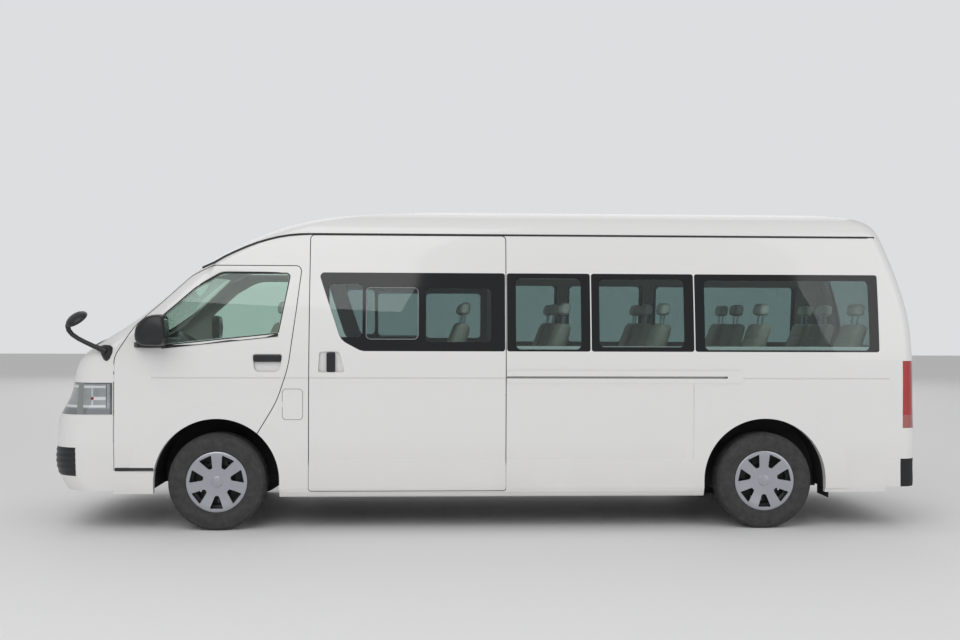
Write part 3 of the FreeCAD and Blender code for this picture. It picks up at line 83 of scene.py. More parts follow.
class Finish:
    """A material with its shader, the shader's own socket values, and the patterns that drive it."""

    def __init__(self, name, **sockets):
        self.material = bpy.data.materials.new(name)
        self.material.use_nodes = True
        self.tree = self.material.node_tree
        self.shader = self.tree.nodes["Principled BSDF"]
        for key, value in sockets.items():
            self.shader.inputs[key.replace("_", " ")].default_value = value
        self.at = self.node("TexCoord").outputs["Object"]

    def node(self, kind, links=None, **settings):
        return add_node(self.tree, kind, links, **settings)

    def axes(self):
        """The place as x, y and z."""
        return self.node("SeparateXYZ", {"Vector": self.at}).outputs[:]

    def noise(self, scale, detail=2.0, roughness=0.5):
        return self.node("TexNoise", {"Vector": self.at, "Scale": scale, "Detail": detail,
                                      "Roughness": roughness}).outputs["Fac"]

    def cells(self, scale):
        return self.node("TexVoronoi", {"Vector": self.at, "Scale": scale}).outputs["Distance"]

    def bands(self, scale, way, distortion=0.0):
        """Even waves along one axis."""
        return self.node("TexWave", {"Vector": self.at, "Scale": scale, "Distortion": distortion},
                         wave_type="BANDS", bands_direction=way).outputs["Fac"]

    def ramp(self, value, low=0.0, high=1.0, start=0.0, end=1.0):
        """Start at the low value and end at the high one, even between them."""
        return self.node("MapRange", {"Value": value, "From Min": low, "From Max": high, "To Min": start,
                                      "To Max": end}).outputs[0]

    def between(self, value, low, high, soft=0.0015):
        """A mask that is one between two values, with soft edges."""
        return self.calc("MULTIPLY", self.ramp(value, low, low + soft),
                         self.ramp(value, high - soft, high, 1.0, 0.0))

    def calc(self, operation, first, second):
        return self.node("Math", {0: first, 1: second}, operation=operation).outputs[0]

    def vector(self, operation, *values):
        made = self.node("VectorMath", dict(enumerate(values)), operation=operation)
        return made.outputs["Value" if operation in ("DOT_PRODUCT", "LENGTH", "DISTANCE") else "Vector"]

    def mix(self, share, first, second):
        """Two colours mixed, each a hex value or the colour that a node gives."""
        first, second = [tone if isinstance(tone, bpy.types.NodeSocket) else linear(tone) for tone in (first, second)]
        return self.node("Mix", {"Factor": share, 6: first, 7: second}, data_type="RGBA").outputs[2]

    def drive(self, socket, value):
        """One socket of the shader, fed by a pattern."""
        self.tree.links.new(value, self.shader.inputs[socket])

    def colour(self, share, first, second):
        self.drive("Base Color", self.mix(share, first, second))

    def relief(self, height, strength, depth):
        bump = self.node("Bump", {"Height": height, "Strength": strength, "Distance": depth})
        self.drive("Normal", bump.outputs[0])


def dress(finish, *nodes):
    """A finish put on pieces of the CAD model."""
    for node in nodes:
        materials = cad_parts[node].data.materials
        materials.clear()
        materials.append(finish.material)


# Mesh tools: bmesh forms made into objects, and the steps that several pieces share.
def mesh_of(name, bm):
    """A mesh from a bmesh, which is freed."""
    mesh = bpy.data.meshes.new(name)
    bm.to_mesh(mesh)
    bm.free()
    return mesh


def placed(name, data):
    """A new object in the scene."""
    made = bpy.data.objects.new(name, data)
    bpy.context.scene.collection.objects.link(made)
    return made


def baked(made):
    """The mesh of an object after its modifiers."""
    return bpy.data.meshes.new_from_object(made.evaluated_get(bpy.context.evaluated_depsgraph_get()))


def rounded(bm, geom, radius, steps, affect="EDGES"):
    """Edges, or the corners of a flat shape, rounded."""
    bmesh.ops.bevel(bm, geom=geom, offset=radius, segments=steps, profile=0.5, affect=affect, material=-1)


def extruded(bm, faces):
    """Faces drawn out into walls: the new vertices, still at the old places, for the caller to move."""
    walls = bmesh.ops.extrude_face_region(bm, geom=faces)
    return [vert for vert in walls["geom"] if isinstance(vert, bmesh.types.BMVert)]


def spun(bm, section, steps, axis=(0, 1, 0), closed=False):
    """A turned form from a section of radius and place along the axis."""
    ring = [bm.verts.new(Vector((radius, 0, 0)) + along * Vector(axis)) for radius, along in section]
    edges = [bm.edges.new(pair) for pair in zip(ring, ring[1:] + ring[:1] if closed else ring[1:])]
    bmesh.ops.spin(bm, geom=ring + edges, cent=(0, 0, 0), axis=axis, angle=2 * math.pi, steps=steps,
                   use_merge=True, use_duplicate=False)


def skinned(bm, rings, closed=True):
    """Faces from ring to ring, with both ends capped; or a plain sheet from rows that are not closed."""
    for lower, upper in zip(rings, rings[1:]):
        for k in range(len(lower) if closed else len(lower) - 1):
            after = (k + 1) % len(lower)
            bm.faces.new((lower[k], lower[after], upper[after], upper[k]))
    if closed:
        bm.faces.new(rings[0])
        bm.faces.new(rings[-1])


def piece(name, bm, finish, body, bend=35):
    """A finished mesh as a named piece that rides on a body of the vehicle."""
    bmesh.ops.remove_doubles(bm, verts=bm.verts, dist=0.00005)
    bmesh.ops.recalc_face_normals(bm, faces=bm.faces)
    mesh = mesh_of(name, bm)
    for face in mesh.polygons:
        face.use_smooth = True
    mesh.set_sharp_from_angle(angle=math.radians(bend))
    made = placed(name, mesh)
    mesh.materials.append(finish.material)
    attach(made, body)
    return made


def bead(name, points, radius, finish, body, closed=False):
    """A round bead or rod along points, as a mesh."""
    line = bpy.data.curves.new(name, "CURVE")
    line.dimensions = "3D"
    line.bevel_depth = radius
    line.bevel_resolution = 3
    line.use_fill_caps = True
    run = line.splines.new("POLY")
    run.points.add(len(points) - 1)
    for knot, point in zip(run.points, points):
        knot.co = (*point, 1.0)
    run.use_cyclic_u = closed
    holder = bpy.data.objects.new(name + "_line", line)
    mesh = bpy.data.meshes.new_from_object(holder)
    bpy.data.objects.remove(holder)
    bm = bmesh.new()
    bm.from_mesh(mesh)
    bpy.data.meshes.remove(mesh)
    return piece(name, bm, finish, body, bend=60)


def rounded_path(rows, count=7):
    """Points along a closed outline of x, z and corner radius."""
    path = []
    for index, (x, z, radius) in enumerate(rows):
        here = Vector((x, 0, z))
        before, after = [Vector((rows[k % len(rows)][0], 0, rows[k % len(rows)][1])) - here
                         for k in (index - 1, index + 1)]
        turn = before.angle(after)
        centre = here + (before.normalized() + after.normalized()).normalized() * (radius / math.sin(turn / 2))
        start = here + before.normalized() * (radius / math.tan(turn / 2)) - centre
        spin_way = -1 if before.cross(after).y > 0 else 1
        for k in range(count):
            path.append(centre + Matrix.Rotation(spin_way * (math.pi - turn) * k / (count - 1), 3, "Y") @ start)
    return path


# Places read from the frame: the axles and the wheel planes. The outlines below are given in metres from the
# front axle where FRONT is added to them, and from the frame's own zero elsewhere.
tyre_low, tyre_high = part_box("tyre_front_left")
FRONT = (tyre_low.x + tyre_high.x) / 2
REAR = sum(corner.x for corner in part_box("tyre_rear_left")) / 2
WHEEL_Z = (tyre_low.z + tyre_high.z) / 2
WHEEL_Y = abs((tyre_low.y + tyre_high.y) / 2)
SIDES = ((-1, "left"), (1, "right"))
WHEELS = (("front_left", FRONT, -1), ("front_right", FRONT, 1), ("rear_left", REAR, -1), ("rear_right", REAR, 1))

# The outer skin: where a line across or along the vehicle meets a panel or a pane, so that trim lies on it.
OUTER_PANELS = ("roof", "side_left", "side_right", "front_panel", "front_bumper", "rear_bumper", "front_door_left",
                "front_door_right", "sliding_door", "tailgate", "fuel_flap")
skin_points, skin_faces = [], []
for node in OUTER_PANELS + ("side_windows", "sliding_door_glass", "windscreen", "tailgate_glass"):
    first = len(skin_points)
    skin_points += [vert.co.copy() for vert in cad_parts[node].data.vertices]
    skin_faces += [tuple(first + k for k in face.vertices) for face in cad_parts[node].data.polygons]
skin = BVHTree.FromPolygons(skin_points, skin_faces)
WIDEST, NEAREST_SIDE, PLAIN_SIDE = 2.0, 0.6, 0.93
FARTHEST, PLAIN_END = 4.0, 3.1


def side_skin(x, z, side):
    """The outer skin of one side, as y, at a place seen from the side."""
    hit = skin.ray_cast(Vector((x, side * WIDEST, z)), Vector((0, -side, 0)))
    return hit[0].y if hit[0] and abs(hit[0].y) > NEAREST_SIDE else side * PLAIN_SIDE


def end_skin(y, z, end):
    """The outer skin at the nose (end -1) or the tail (end 1), as x, at a place seen from there."""
    hit = skin.ray_cast(Vector((end * FARTHEST, y, z)), Vector((-end, 0, 0)))
    return hit[0].x if hit[0] else end * PLAIN_END


def sheet_piece(name, corners, side, proud, thick, finish, body, radius=0.003, step=0.06):
    """A flat shape with rounded corners laid on one side of the body, its outline given as x and z."""
    bm = bmesh.new()
    face = bm.faces.new([bm.verts.new((x, 0, z)) for x, z in corners])
    rounded(bm, list(face.verts), radius, 6, "VERTICES")
    xs, zs = zip(*corners)
    for axis, low_end, high_end, gap in ((2, min(zs), max(zs), step), (0, min(xs), max(xs), step * 4)):
        place = low_end + gap
        while place < high_end - 0.001:
            point, normal = Vector(), Vector()
            point[axis], normal[axis] = place, 1.0
            bmesh.ops.bisect_plane(bm, geom=bm.verts[:] + bm.edges[:] + bm.faces[:], plane_co=point, plane_no=normal)
            place += gap
    for vert in bm.verts:
        vert.co.y = side_skin(vert.co.x, vert.co.z, side) + side * proud
    for vert in extruded(bm, bm.faces[:]):
        vert.co.y -= side * thick
    return piece(name, bm, finish, body)


# Camera and studio: the photograph's viewpoint, level with the windows and square to the left side.
# The floor is pale and plain, the lamps are large and soft, and the backdrop is a pale grey.
CAMERA_PLACE, CAMERA_LENS = (-0.4169, -8.998, 1.490), 42.675
CAMERA_YAW, CAMERA_ROLL = math.radians(-2.5), math.radians(0.2)
camera = placed("camera", bpy.data.cameras.new("camera"))
camera.data.lens = CAMERA_LENS
camera.data.clip_end = 200.0
camera.matrix_world = (Matrix.Translation(CAMERA_PLACE) @ Matrix.Rotation(CAMERA_YAW, 4, "Z")
                       @ Matrix.Rotation(math.radians(90), 4, "X") @ Matrix.Rotation(CAMERA_ROLL, 4, "Z"))
bpy.context.scene.camera = camera
bpy.context.scene.view_settings.view_transform = "Standard"

LAMP_AIM = Vector((0, 0, 1.0))
for lamp_name, lamp_place, lamp_size, power in (("key", (-4.0, -9.0, 8.0), 9.0, 385),
                                                ("fill", (7.5, -7.0, 5.0), 7.0, 150),
                                                ("back", (0.0, 14.0, 11.0), 20.0, 620)):
    lamp = placed(lamp_name, bpy.data.lights.new(lamp_name, "AREA"))
    lamp.data.size = lamp_size
    lamp.data.energy = power
    lamp.location = lamp_place
    lamp.rotation_euler = (LAMP_AIM - Vector(lamp_place)).to_track_quat("-Z", "Y").to_euler()

world = bpy.data.worlds.new("studio")
bpy.context.scene.world = world
world.use_nodes = True
air = world.node_tree
light_air = air.nodes["Background"]
light_air.inputs["Color"].default_value = linear("#E8E8E9")
light_air.inputs["Strength"].default_value = 0.6
backdrop = add_node(air, "Background", {"Color": linear("#DCDEE0"), "Strength": 1.0})
rays = add_node(air, "LightPath").outputs
seen = add_node(air, "Math", {0: rays["Is Camera Ray"], 1: rays["Is Transmission Ray"]}, operation="MAXIMUM")
chosen = add_node(air, "MixShader", {"Fac": seen.outputs[0], 1: light_air.outputs[0], 2: backdrop.outputs[0]})
air.links.new(chosen.outputs[0], air.nodes["World Output"].inputs["Surface"])

ground_bm = bmesh.new()
bmesh.ops.create_grid(ground_bm, x_segments=1, y_segments=1, size=40.0)
ground = placed("studio_floor", mesh_of("studio_floor", ground_bm))
floor_paint = Finish("studio_floor", Roughness=0.75)
floor_paint.shader.inputs["Base Color"].default_value = linear("#F0F0F0")
ground.data.materials.append(floor_paint.material)
ground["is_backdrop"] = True

# Body panels: pressed steel sheet, primed and sprayed in a gloss white enamel under clear lacquer.
# The lacquer has a fine orange peel; the colour turns greyer towards the bottom in uneven patches, and inboard faces
# carry moulded trim.
# The rear face and corners of the rear bumper are the bare black step pad.
DARKER_BELOW, DARKEST_AT, LINED_FROM = 0.62, 0.22, 0.62
HEADLINING_FROM, HEADLINING_FULL = 1.84, 1.88
STEP_PAD_X, STEP_PAD_Z = 2.976, 0.5
GLOSSY, DULL, LACQUER = 0.32, 0.7, 0.7
BODY_MIDDLE, BODY_WEIGHTS, INBOARD_BELOW = (0.0, 0.0, 1.45), (0.28, 1.0, 0.9), -0.02
paint = Finish("white_lacquered_enamel", Roughness=GLOSSY, Coat_Weight=LACQUER, Coat_Roughness=0.06)
paint.relief(paint.noise(260.0), 0.02, 0.001)
x_at, _, z_at = paint.axes()
# The colour greys towards the bottom, from 0.62 m down to 0.22 m, in uneven patches.
low_darkening = paint.calc("MULTIPLY", paint.ramp(z_at, DARKER_BELOW, DARKEST_AT, 0.0, 0.35), paint.noise(3.0, 5.0, 0.6))
weighed = paint.vector("MULTIPLY", paint.vector("SUBTRACT", paint.at, BODY_MIDDLE), BODY_WEIGHTS)
facing = paint.node("VectorTransform", {"Vector": paint.node("NewGeometry").outputs["True Normal"]},
                    vector_type="NORMAL", convert_from="WORLD", convert_to="OBJECT")
outward = paint.vector("DOT_PRODUCT", weighed, facing.outputs["Vector"])
lined = paint.calc("MULTIPLY", paint.calc("LESS_THAN", outward, INBOARD_BELOW),
                   paint.calc("GREATER_THAN", z_at, LINED_FROM))
lining = paint.mix(paint.ramp(z_at, HEADLINING_FROM, HEADLINING_FULL), "#8F8E8A", "#BDBAB2")
step_pad = paint.calc("MULTIPLY", paint.calc("GREATER_THAN", x_at, STEP_PAD_X),
                      paint.calc("LESS_THAN", z_at, STEP_PAD_Z))
paint.colour(step_pad, paint.mix(lined, paint.mix(low_darkening, "#ECEBEA", "#BDBBB5"), lining), "#1B1C1E")
unlacquered = paint.calc("MAXIMUM", lined, step_pad)
paint.drive("Coat Weight", paint.calc("MULTIPLY", paint.calc("SUBTRACT", 1.0, unlacquered), LACQUER))
paint.drive("Roughness", paint.ramp(unlacquered, 0.0, 1.0, GLOSSY, DULL))
dress(paint, *OUTER_PANELS)

# Side and rear windows: toughened glass, tinted blue-green through its thickness, with a black ceramic
# border printed and fired round each opening. The border hides the bonding bead.
# Each clear opening is given as its middle (x or y, and z) and its half sizes.
APERTURES = {"side_windows": ((-1.015, 1.555, 0.118, 0.190), (-0.683, 1.535, 0.185, 0.188),
                              (-0.218, 1.525, 0.235, 0.192), (0.427, 1.535, 0.233, 0.254),
                              (1.097, 1.542, 0.305, 0.243), (2.151, 1.530, 0.599, 0.251)),
             "tailgate_glass": ((0.0, 1.565, 0.62, 0.27),)}
APERTURES["sliding_door_glass"] = APERTURES["side_windows"][:3]


def tinted_glass(name, tint, holes, across="X", corner=0.035):
    """Glass of a tint with a black printed border round its clear parts."""
    glass = Finish(name, Roughness=0.0, IOR=1.52, Transmission_Weight=1.0)
    glass.shader.inputs["Base Color"].default_value = linear(tint)
    clear = None
    for u, z, half_u, half_z in holes:
        if across == "X":
            flat, middle, reach = (1, 0, 1), (u, 0, z), (half_u - corner, 0, half_z - corner)
        else:
            flat, middle, reach = (0, 1, 1), (0, u, z), (0, half_u - corner, half_z - corner)
        folded = glass.vector("ABSOLUTE", glass.vector("SUBTRACT", glass.vector("MULTIPLY", glass.at, flat), middle))
        beyond = glass.vector("MAXIMUM", glass.vector("SUBTRACT", folded, reach), (0, 0, 0))
        in_hole = glass.calc("LESS_THAN", glass.vector("LENGTH", beyond), corner)
        clear = glass.calc("MAXIMUM", clear, in_hole) if clear else in_hole
    rays = glass.node("LightPath").outputs
    lamp_ray = glass.calc("MAXIMUM", rays["Is Shadow Ray"], rays["Is Diffuse Ray"])
    open_glass = glass.node("BsdfTransparent", {"Color": linear("#F2F7F5")})
    whole = glass.node("MixShader", {"Fac": lamp_ray, 1: glass.shader.outputs[0], 2: open_glass.outputs[0]})
    if clear:
        border = glass.node("BsdfPrincipled", {"Base Color": linear("#0B0D10"), "Roughness": 0.06, "IOR": 1.52})
        whole = glass.node("MixShader", {"Fac": clear, 1: border.outputs[0], 2: whole.outputs[0]})
    glass.tree.links.new(whole.outputs[0], glass.tree.nodes["Material Output"].inputs["Surface"])
    return glass


for node, across in (("side_windows", "X"), ("sliding_door_glass", "X"), ("tailgate_glass", "Y")):
    dress(tinted_glass("tinted_toughened_glass_" + node, "#9FB3B1", APERTURES[node], across), node)

# Windscreen and front door glass: laminated and toughened glass with a light green tint.
# Only the windscreen has a printed border.
dress(tinted_glass("green_tinted_glass", "#CFE3DA", ()), "front_door_glass_left", "front_door_glass_right")
dress(tinted_glass("laminated_screen_glass", "#D6E8E0", ((0.0, 1.590, 0.775, 0.235),), "Y", 0.05), "windscreen")

# Tyres: black rubber moulded in a heated press. The tread is cut into blocks by the mould, and the
# sidewall carries fine concentric ribs and a raised band near the bead.
rubber = Finish("vulcanised_tyre_rubber", Roughness=0.82)
rubber.colour(rubber.ramp(rubber.noise(22.0, 6.0, 0.65), 0.35, 0.75), "#343435", "#484746")
rubber.relief(rubber.noise(900.0), 0.25, 0.0008)

TYRE_SECTION = ((0.206, 0.0815), (0.214, 0.0885), (0.219, 0.0905), (0.222, 0.0930), (0.228, 0.0940), (0.232, 0.0925),
                (0.246, 0.0952), (0.262, 0.0968), (0.276, 0.0972), (0.288, 0.0958), (0.291, 0.0966), (0.297, 0.0956),
                (0.300, 0.0940), (0.312, 0.0925), (0.322, 0.0895), (0.330, 0.0850), (0.3355, 0.0780),
                (0.3370, 0.0715), (0.3375, 0.0430), (0.3375, 0.0390), (0.3378, 0.0130), (0.3378, 0.0090),
                (0.3378, -0.0090), (0.3378, -0.0130), (0.3375, -0.0390), (0.3375, -0.0430), (0.3370, -0.0715),
                (0.3355, -0.0780), (0.330, -0.0850), (0.322, -0.0895), (0.300, -0.0940), (0.276, -0.0972),
                (0.246, -0.0952), (0.222, -0.0930), (0.206, -0.0815), (0.192, -0.070), (0.192, -0.056),
                (0.222, -0.078), (0.320, -0.072), (0.320, 0.072), (0.222, 0.078), (0.192, 0.056), (0.192, 0.070))
TREAD_RADIUS, TREAD_HALF, LEAST_BLOCK = 0.3355, 0.075, 0.00012
SHOULDER_INNER, SHOULDER_OUTER, SHOULDER_FROM = 0.3235, 0.3345, 0.079
TREAD_GROOVE, TREAD_DEPTH, SHOULDER_GROOVE, SHOULDER_DEPTH = 0.0016, 0.0050, 0.0018, 0.0022


def wheel_place(x, side):
    """Where a wheel's own axis system stands: outward along Y on its side."""
    turn = Matrix.Identity(4) if side > 0 else Matrix.Rotation(math.pi, 4, "Z")
    return Matrix.Translation((x, side * WHEEL_Y, WHEEL_Z)) @ turn


for corner, x, side in WHEELS:
    bm = bmesh.new()
    spun(bm, TYRE_SECTION, 90, closed=True)
    bmesh.ops.recalc_face_normals(bm, faces=bm.faces)
    blocks = []
    for face in bm.faces:
        middle = face.calc_center_median()
        if math.hypot(middle.x, middle.z) > TREAD_RADIUS and abs(middle.y) < TREAD_HALF \
                and face.calc_area() > LEAST_BLOCK:
            blocks.append(face)
    bmesh.ops.inset_individual(bm, faces=blocks, thickness=TREAD_GROOVE, depth=TREAD_DEPTH)
    shoulder = []
    for face in bm.faces:
        middle = face.calc_center_median()
        if SHOULDER_INNER < math.hypot(middle.x, middle.z) < SHOULDER_OUTER and abs(middle.y) > SHOULDER_FROM \
                and face.normal.y * middle.y > 0:
            shoulder.append(face)
    bmesh.ops.inset_individual(bm, faces=shoulder, thickness=SHOULDER_GROOVE, depth=SHOULDER_DEPTH)
    bm.transform(wheel_place(x, side))
    tyre = piece("moulded_tyre_" + corner, bm, rubber, "wheel_" + corner, bend=28)
    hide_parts("tyre_" + corner)

# Wheels: pressed steel, dip painted dark grey, seen through the openings of the covers.
dark_steel = Finish("dip_painted_steel", Roughness=0.5, Metallic=0.2)
dark_steel.colour(dark_steel.noise(60.0, 5.0, 0.7), "#1B1C1E", "#3A3B3D")
dress(dark_steel, *["rim_" + corner for corner, x, side in WHEELS])

# Wheel covers: moulded in one piece and painted silver, clipped to the steel wheel. Seven flat spokes run
# from a shallow dish to the lip, with tapered openings between them; the centre cap is plain.
silver = Finish("silver_painted_moulding", Roughness=0.34, Metallic=0.72, Coat_Weight=0.35, Coat_Roughness=0.12)
silver.colour(silver.cells(1400.0), "#B9BBC2", "#A3A5AD")
silver.drive("Roughness", silver.ramp(silver.noise(35.0, 4.0), 0.0, 1.0, 0.27, 0.45))

COVER_SECTION = ((0.0, 0.0835), (0.034, 0.0830), (0.0372, 0.0815), (0.0385, 0.0780), (0.0400, 0.0772), (0.048, 0.0778),
                 (0.070, 0.0790), (0.100, 0.0815), (0.140, 0.0870), (0.172, 0.0935), (0.190, 0.0962), (0.196, 0.0955),
                 (0.2015, 0.0958), (0.2085, 0.0940), (0.2130, 0.0915), (0.2130, 0.0902), (0.2060, 0.0890),
                 (0.200, 0.0900), (0.172, 0.0885), (0.140, 0.0825), (0.100, 0.0765), (0.070, 0.0745), (0.0, 0.0745))
SPOKES, WINDOW_CORNER, EDGE_RADIUS = 7, 0.008, 0.0012
WINDOW_FRONT, WINDOW_REAR, REAR_FLARE = 0.100, 0.064, 0.45
bm = bmesh.new()
spun(bm, COVER_SECTION, 112)
bmesh.ops.remove_doubles(bm, verts=bm.verts, dist=0.00005)
bmesh.ops.recalc_face_normals(bm, faces=bm.faces)
dish = placed("cover_dish", mesh_of("cover_dish", bm))

cutters = bmesh.new()
for number in range(SPOKES):
    window = bmesh.new()
    bmesh.ops.create_cube(window, size=1.0)
    for vert in window.verts:
        outer, front = vert.co.x > 0, vert.co.y > 0
        flare = 1.0 if front else REAR_FLARE
        radius = 0.176 + 0.012 * flare if outer else 0.106 - 0.010 * flare
        half = (0.040 if outer else 0.0075) + 0.0075 * flare
        vert.co = Vector((radius, WINDOW_FRONT if front else WINDOW_REAR, math.copysign(half, vert.co.z)))
    through = [edge for edge in window.edges if abs(edge.verts[0].co.y - edge.verts[1].co.y) > 0.02]
    rounded(window, through, WINDOW_CORNER, 4)
    window.transform(Matrix.Rotation(-math.radians(360 / (4 * SPOKES) + number * 360 / SPOKES), 4, "Y"))
    window_mesh = mesh_of("window", window)
    cutters.from_mesh(window_mesh)
    bpy.data.meshes.remove(window_mesh)
bmesh.ops.recalc_face_normals(cutters, faces=cutters.faces)
cutter = placed("cover_windows", mesh_of("cover_windows", cutters))
cut = dish.modifiers.new("windows", "BOOLEAN")
cut.object = cutter
cut.solver = "EXACT"
soften = dish.modifiers.new("edges", "BEVEL")
soften.width = EDGE_RADIUS
soften.segments = 2
soften.limit_method = "ANGLE"
soften.angle_limit = math.radians(40)
cover_mesh = baked(dish)
bpy.data.objects.remove(dish)
bpy.data.objects.remove(cutter)
for corner, x, side in WHEELS:
    bm = bmesh.new()
    bm.from_mesh(cover_mesh)
    bm.transform(wheel_place(x, side))
    cover = piece("seven_spoke_cover_" + corner, bm, silver, "wheel_" + corner, bend=30)
    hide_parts("wheel_cover_" + corner)

# Black mouldings: mirrors, handles and pads in black ABS, moulded with a fine spark grain.
black_abs = Finish("spark_grained_black_abs", Roughness=0.38)
black_abs.relief(black_abs.noise(1100.0), 0.12, 0.0004)
black_abs.colour(black_abs.noise(9.0, 4.0), "#17181A", "#242528")
dress(black_abs, "door_mirror_left", "door_mirror_right", "corner_mirror", "intake_grille",
      "front_door_handle_left", "front_door_handle_right", "sliding_door_handle")

# Door mirrors: a moulded teardrop housing, flat behind and round in front, on a foot at the door's corner.
# The outline is x and z from the front axle. The crown is the outline's share at places inward from the tip.
# The foot tapers from the door to the housing: its length, place across and height at each end.
MIRROR_OUTLINE = ((-0.332, 1.506), (-0.341, 1.517), (-0.366, 1.522), (-0.415, 1.519), (-0.464, 1.503),
                  (-0.502, 1.473), (-0.529, 1.432), (-0.538, 1.386), (-0.534, 1.348), (-0.517, 1.322),
                  (-0.489, 1.309), (-0.425, 1.303), (-0.366, 1.303), (-0.341, 1.308), (-0.332, 1.320))
CROWN = ((0.0, 0.62), (0.010, 0.80), (0.026, 0.92), (0.052, 0.985), (0.090, 1.0), (0.130, 0.985), (0.152, 0.93),
         (0.163, 0.84), (0.168, 0.70))
MIRROR_BACK, MIRROR_Z, MIRROR_REACH = -0.332, 1.412, 1.128
FOOT_MIDDLE_X, FOOT_MIDDLE_Z = -0.462, 1.308
FOOT_AT_DOOR, FOOT_AT_HOUSING = (0.230, 0.931, 0.040), (0.150, 0.990, 0.034)
for side, word in SIDES:
    bm = bmesh.new()
    skinned(bm, [[bm.verts.new((FRONT + MIRROR_BACK + (x - MIRROR_BACK) * share, side * (MIRROR_REACH - along),
                                MIRROR_Z + (z - MIRROR_Z) * (0.55 + 0.45 * share))) for x, z in MIRROR_OUTLINE]
                 for along, share in CROWN])
    foot = bmesh.ops.create_cube(bm, size=1.0)["verts"]
    for vert in foot:
        long, y, high = FOOT_AT_DOOR if vert.co.y > 0 else FOOT_AT_HOUSING
        vert.co = Vector((FRONT + FOOT_MIDDLE_X + vert.co.x * long, side * y, FOOT_MIDDLE_Z + vert.co.z * high))
    rounded(bm, [e for e in bm.edges if e.verts[0] in foot and e.verts[1] in foot], 0.008, 3)
    bmesh.ops.subdivide_edges(bm, edges=[e for e in bm.edges if e.calc_length() > 0.03], cuts=1, smooth=0.3)
    housing = piece("mirror_housing_" + word, bm, black_abs, "front_door_" + word, bend=50)
    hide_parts("door_mirror_" + word)

# Corner mirror: a convex round mirror on one bent arm, from a wedge-shaped foot on the wing.
# The arm is given as x, z and radius along its length, the head as a turned section.
MIRROR_ARM = ((-0.762, 1.262, 0.024), (-0.800, 1.279, 0.020), (-0.850, 1.299, 0.0165), (-0.905, 1.325, 0.016),
              (-0.955, 1.351, 0.016), (-0.995, 1.378, 0.0165), (-1.020, 1.408, 0.017), (-1.027, 1.438, 0.018),
              (-1.016, 1.470, 0.020))
HEAD_SECTION = ((0.0, 0.030), (0.030, 0.028), (0.056, 0.021), (0.074, 0.009), (0.081, -0.004), (0.080, -0.012),
                (0.076, -0.015), (0.0, -0.015))
FOOT = ((-0.812, 1.284), (-0.800, 1.302), (-0.775, 1.308), (-0.737, 1.304), (-0.722, 1.288), (-0.724, 1.255),
        (-0.742, 1.210), (-0.762, 1.192), (-0.782, 1.200), (-0.805, 1.245))
ARM_SIDES, ARM_Y, HEAD_PLACE = 16, -0.945, (FRONT - 0.968, -0.950, 1.490)
FOOT_X, FOOT_Z, FOOT_RINGS = -0.766, 1.262, ((-0.9295, 1.0), (-0.9480, 0.72))
HEAD_TILT = Matrix.Rotation(math.radians(-28), 3, "Y") @ Matrix.Rotation(math.radians(28), 3, "X")
bm = bmesh.new()
rings = []
for index, (x, z, radius) in enumerate(MIRROR_ARM):
    before = Vector(MIRROR_ARM[max(index - 1, 0)][:2])
    after = Vector(MIRROR_ARM[min(index + 1, len(MIRROR_ARM) - 1)][:2])
    run = (after - before).normalized()
    rings.append([bm.verts.new((FRONT + x - run.y * radius * math.cos(turn), ARM_Y + radius * math.sin(turn),
                                z + run.x * radius * math.cos(turn)))
                  for turn in [2 * math.pi * k / ARM_SIDES for k in range(ARM_SIDES)]])
skinned(bm, rings)
before = set(bm.verts)
spun(bm, HEAD_SECTION, 40, axis=(0, 0, 1))
head = [vert for vert in bm.verts if vert not in before]
bmesh.ops.rotate(bm, verts=head, cent=(0, 0, 0), matrix=HEAD_TILT)
bmesh.ops.translate(bm, verts=head, vec=HEAD_PLACE)
skinned(bm, [[bm.verts.new((FRONT + FOOT_X + (x - FOOT_X) * share, y, FOOT_Z + (z - FOOT_Z) * share)) for x, z in FOOT]
             for y, share in FOOT_RINGS])
stalk = piece("corner_mirror_moulding", bm, black_abs, "root", bend=40)
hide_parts("corner_mirror")

# Mirror plates: silvered glass, one in the rear face of each door mirror.
silvered = Finish("silvered_mirror_glass", Roughness=0.02, Metallic=1.0)
silvered.colour(silvered.noise(14.0, 3.0), "#D9DEE0", "#C6CDD0")
PLATE_SIZE, PLATE_CORNER, PLATE_X, PLATE_FROM_TIP = (0.003, 0.118, 0.152), 0.028, -0.3312, 0.083
for side, word in SIDES:
    mirror_low, mirror_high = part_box("door_mirror_" + word)
    bm = bmesh.new()
    bmesh.ops.create_cube(bm, size=1.0)
    bmesh.ops.scale(bm, vec=PLATE_SIZE, verts=bm.verts)
    rounded(bm, [e for e in bm.edges if abs(e.verts[0].co.x - e.verts[1].co.x) > 0.001], PLATE_CORNER, 6)
    outer_y = mirror_low.y if side < 0 else mirror_high.y
    bmesh.ops.translate(bm, verts=bm.verts, vec=(FRONT + PLATE_X, outer_y - side * PLATE_FROM_TIP, MIRROR_Z))
    plate = piece("door_mirror_glass_" + word, bm, silvered, "front_door_" + word)

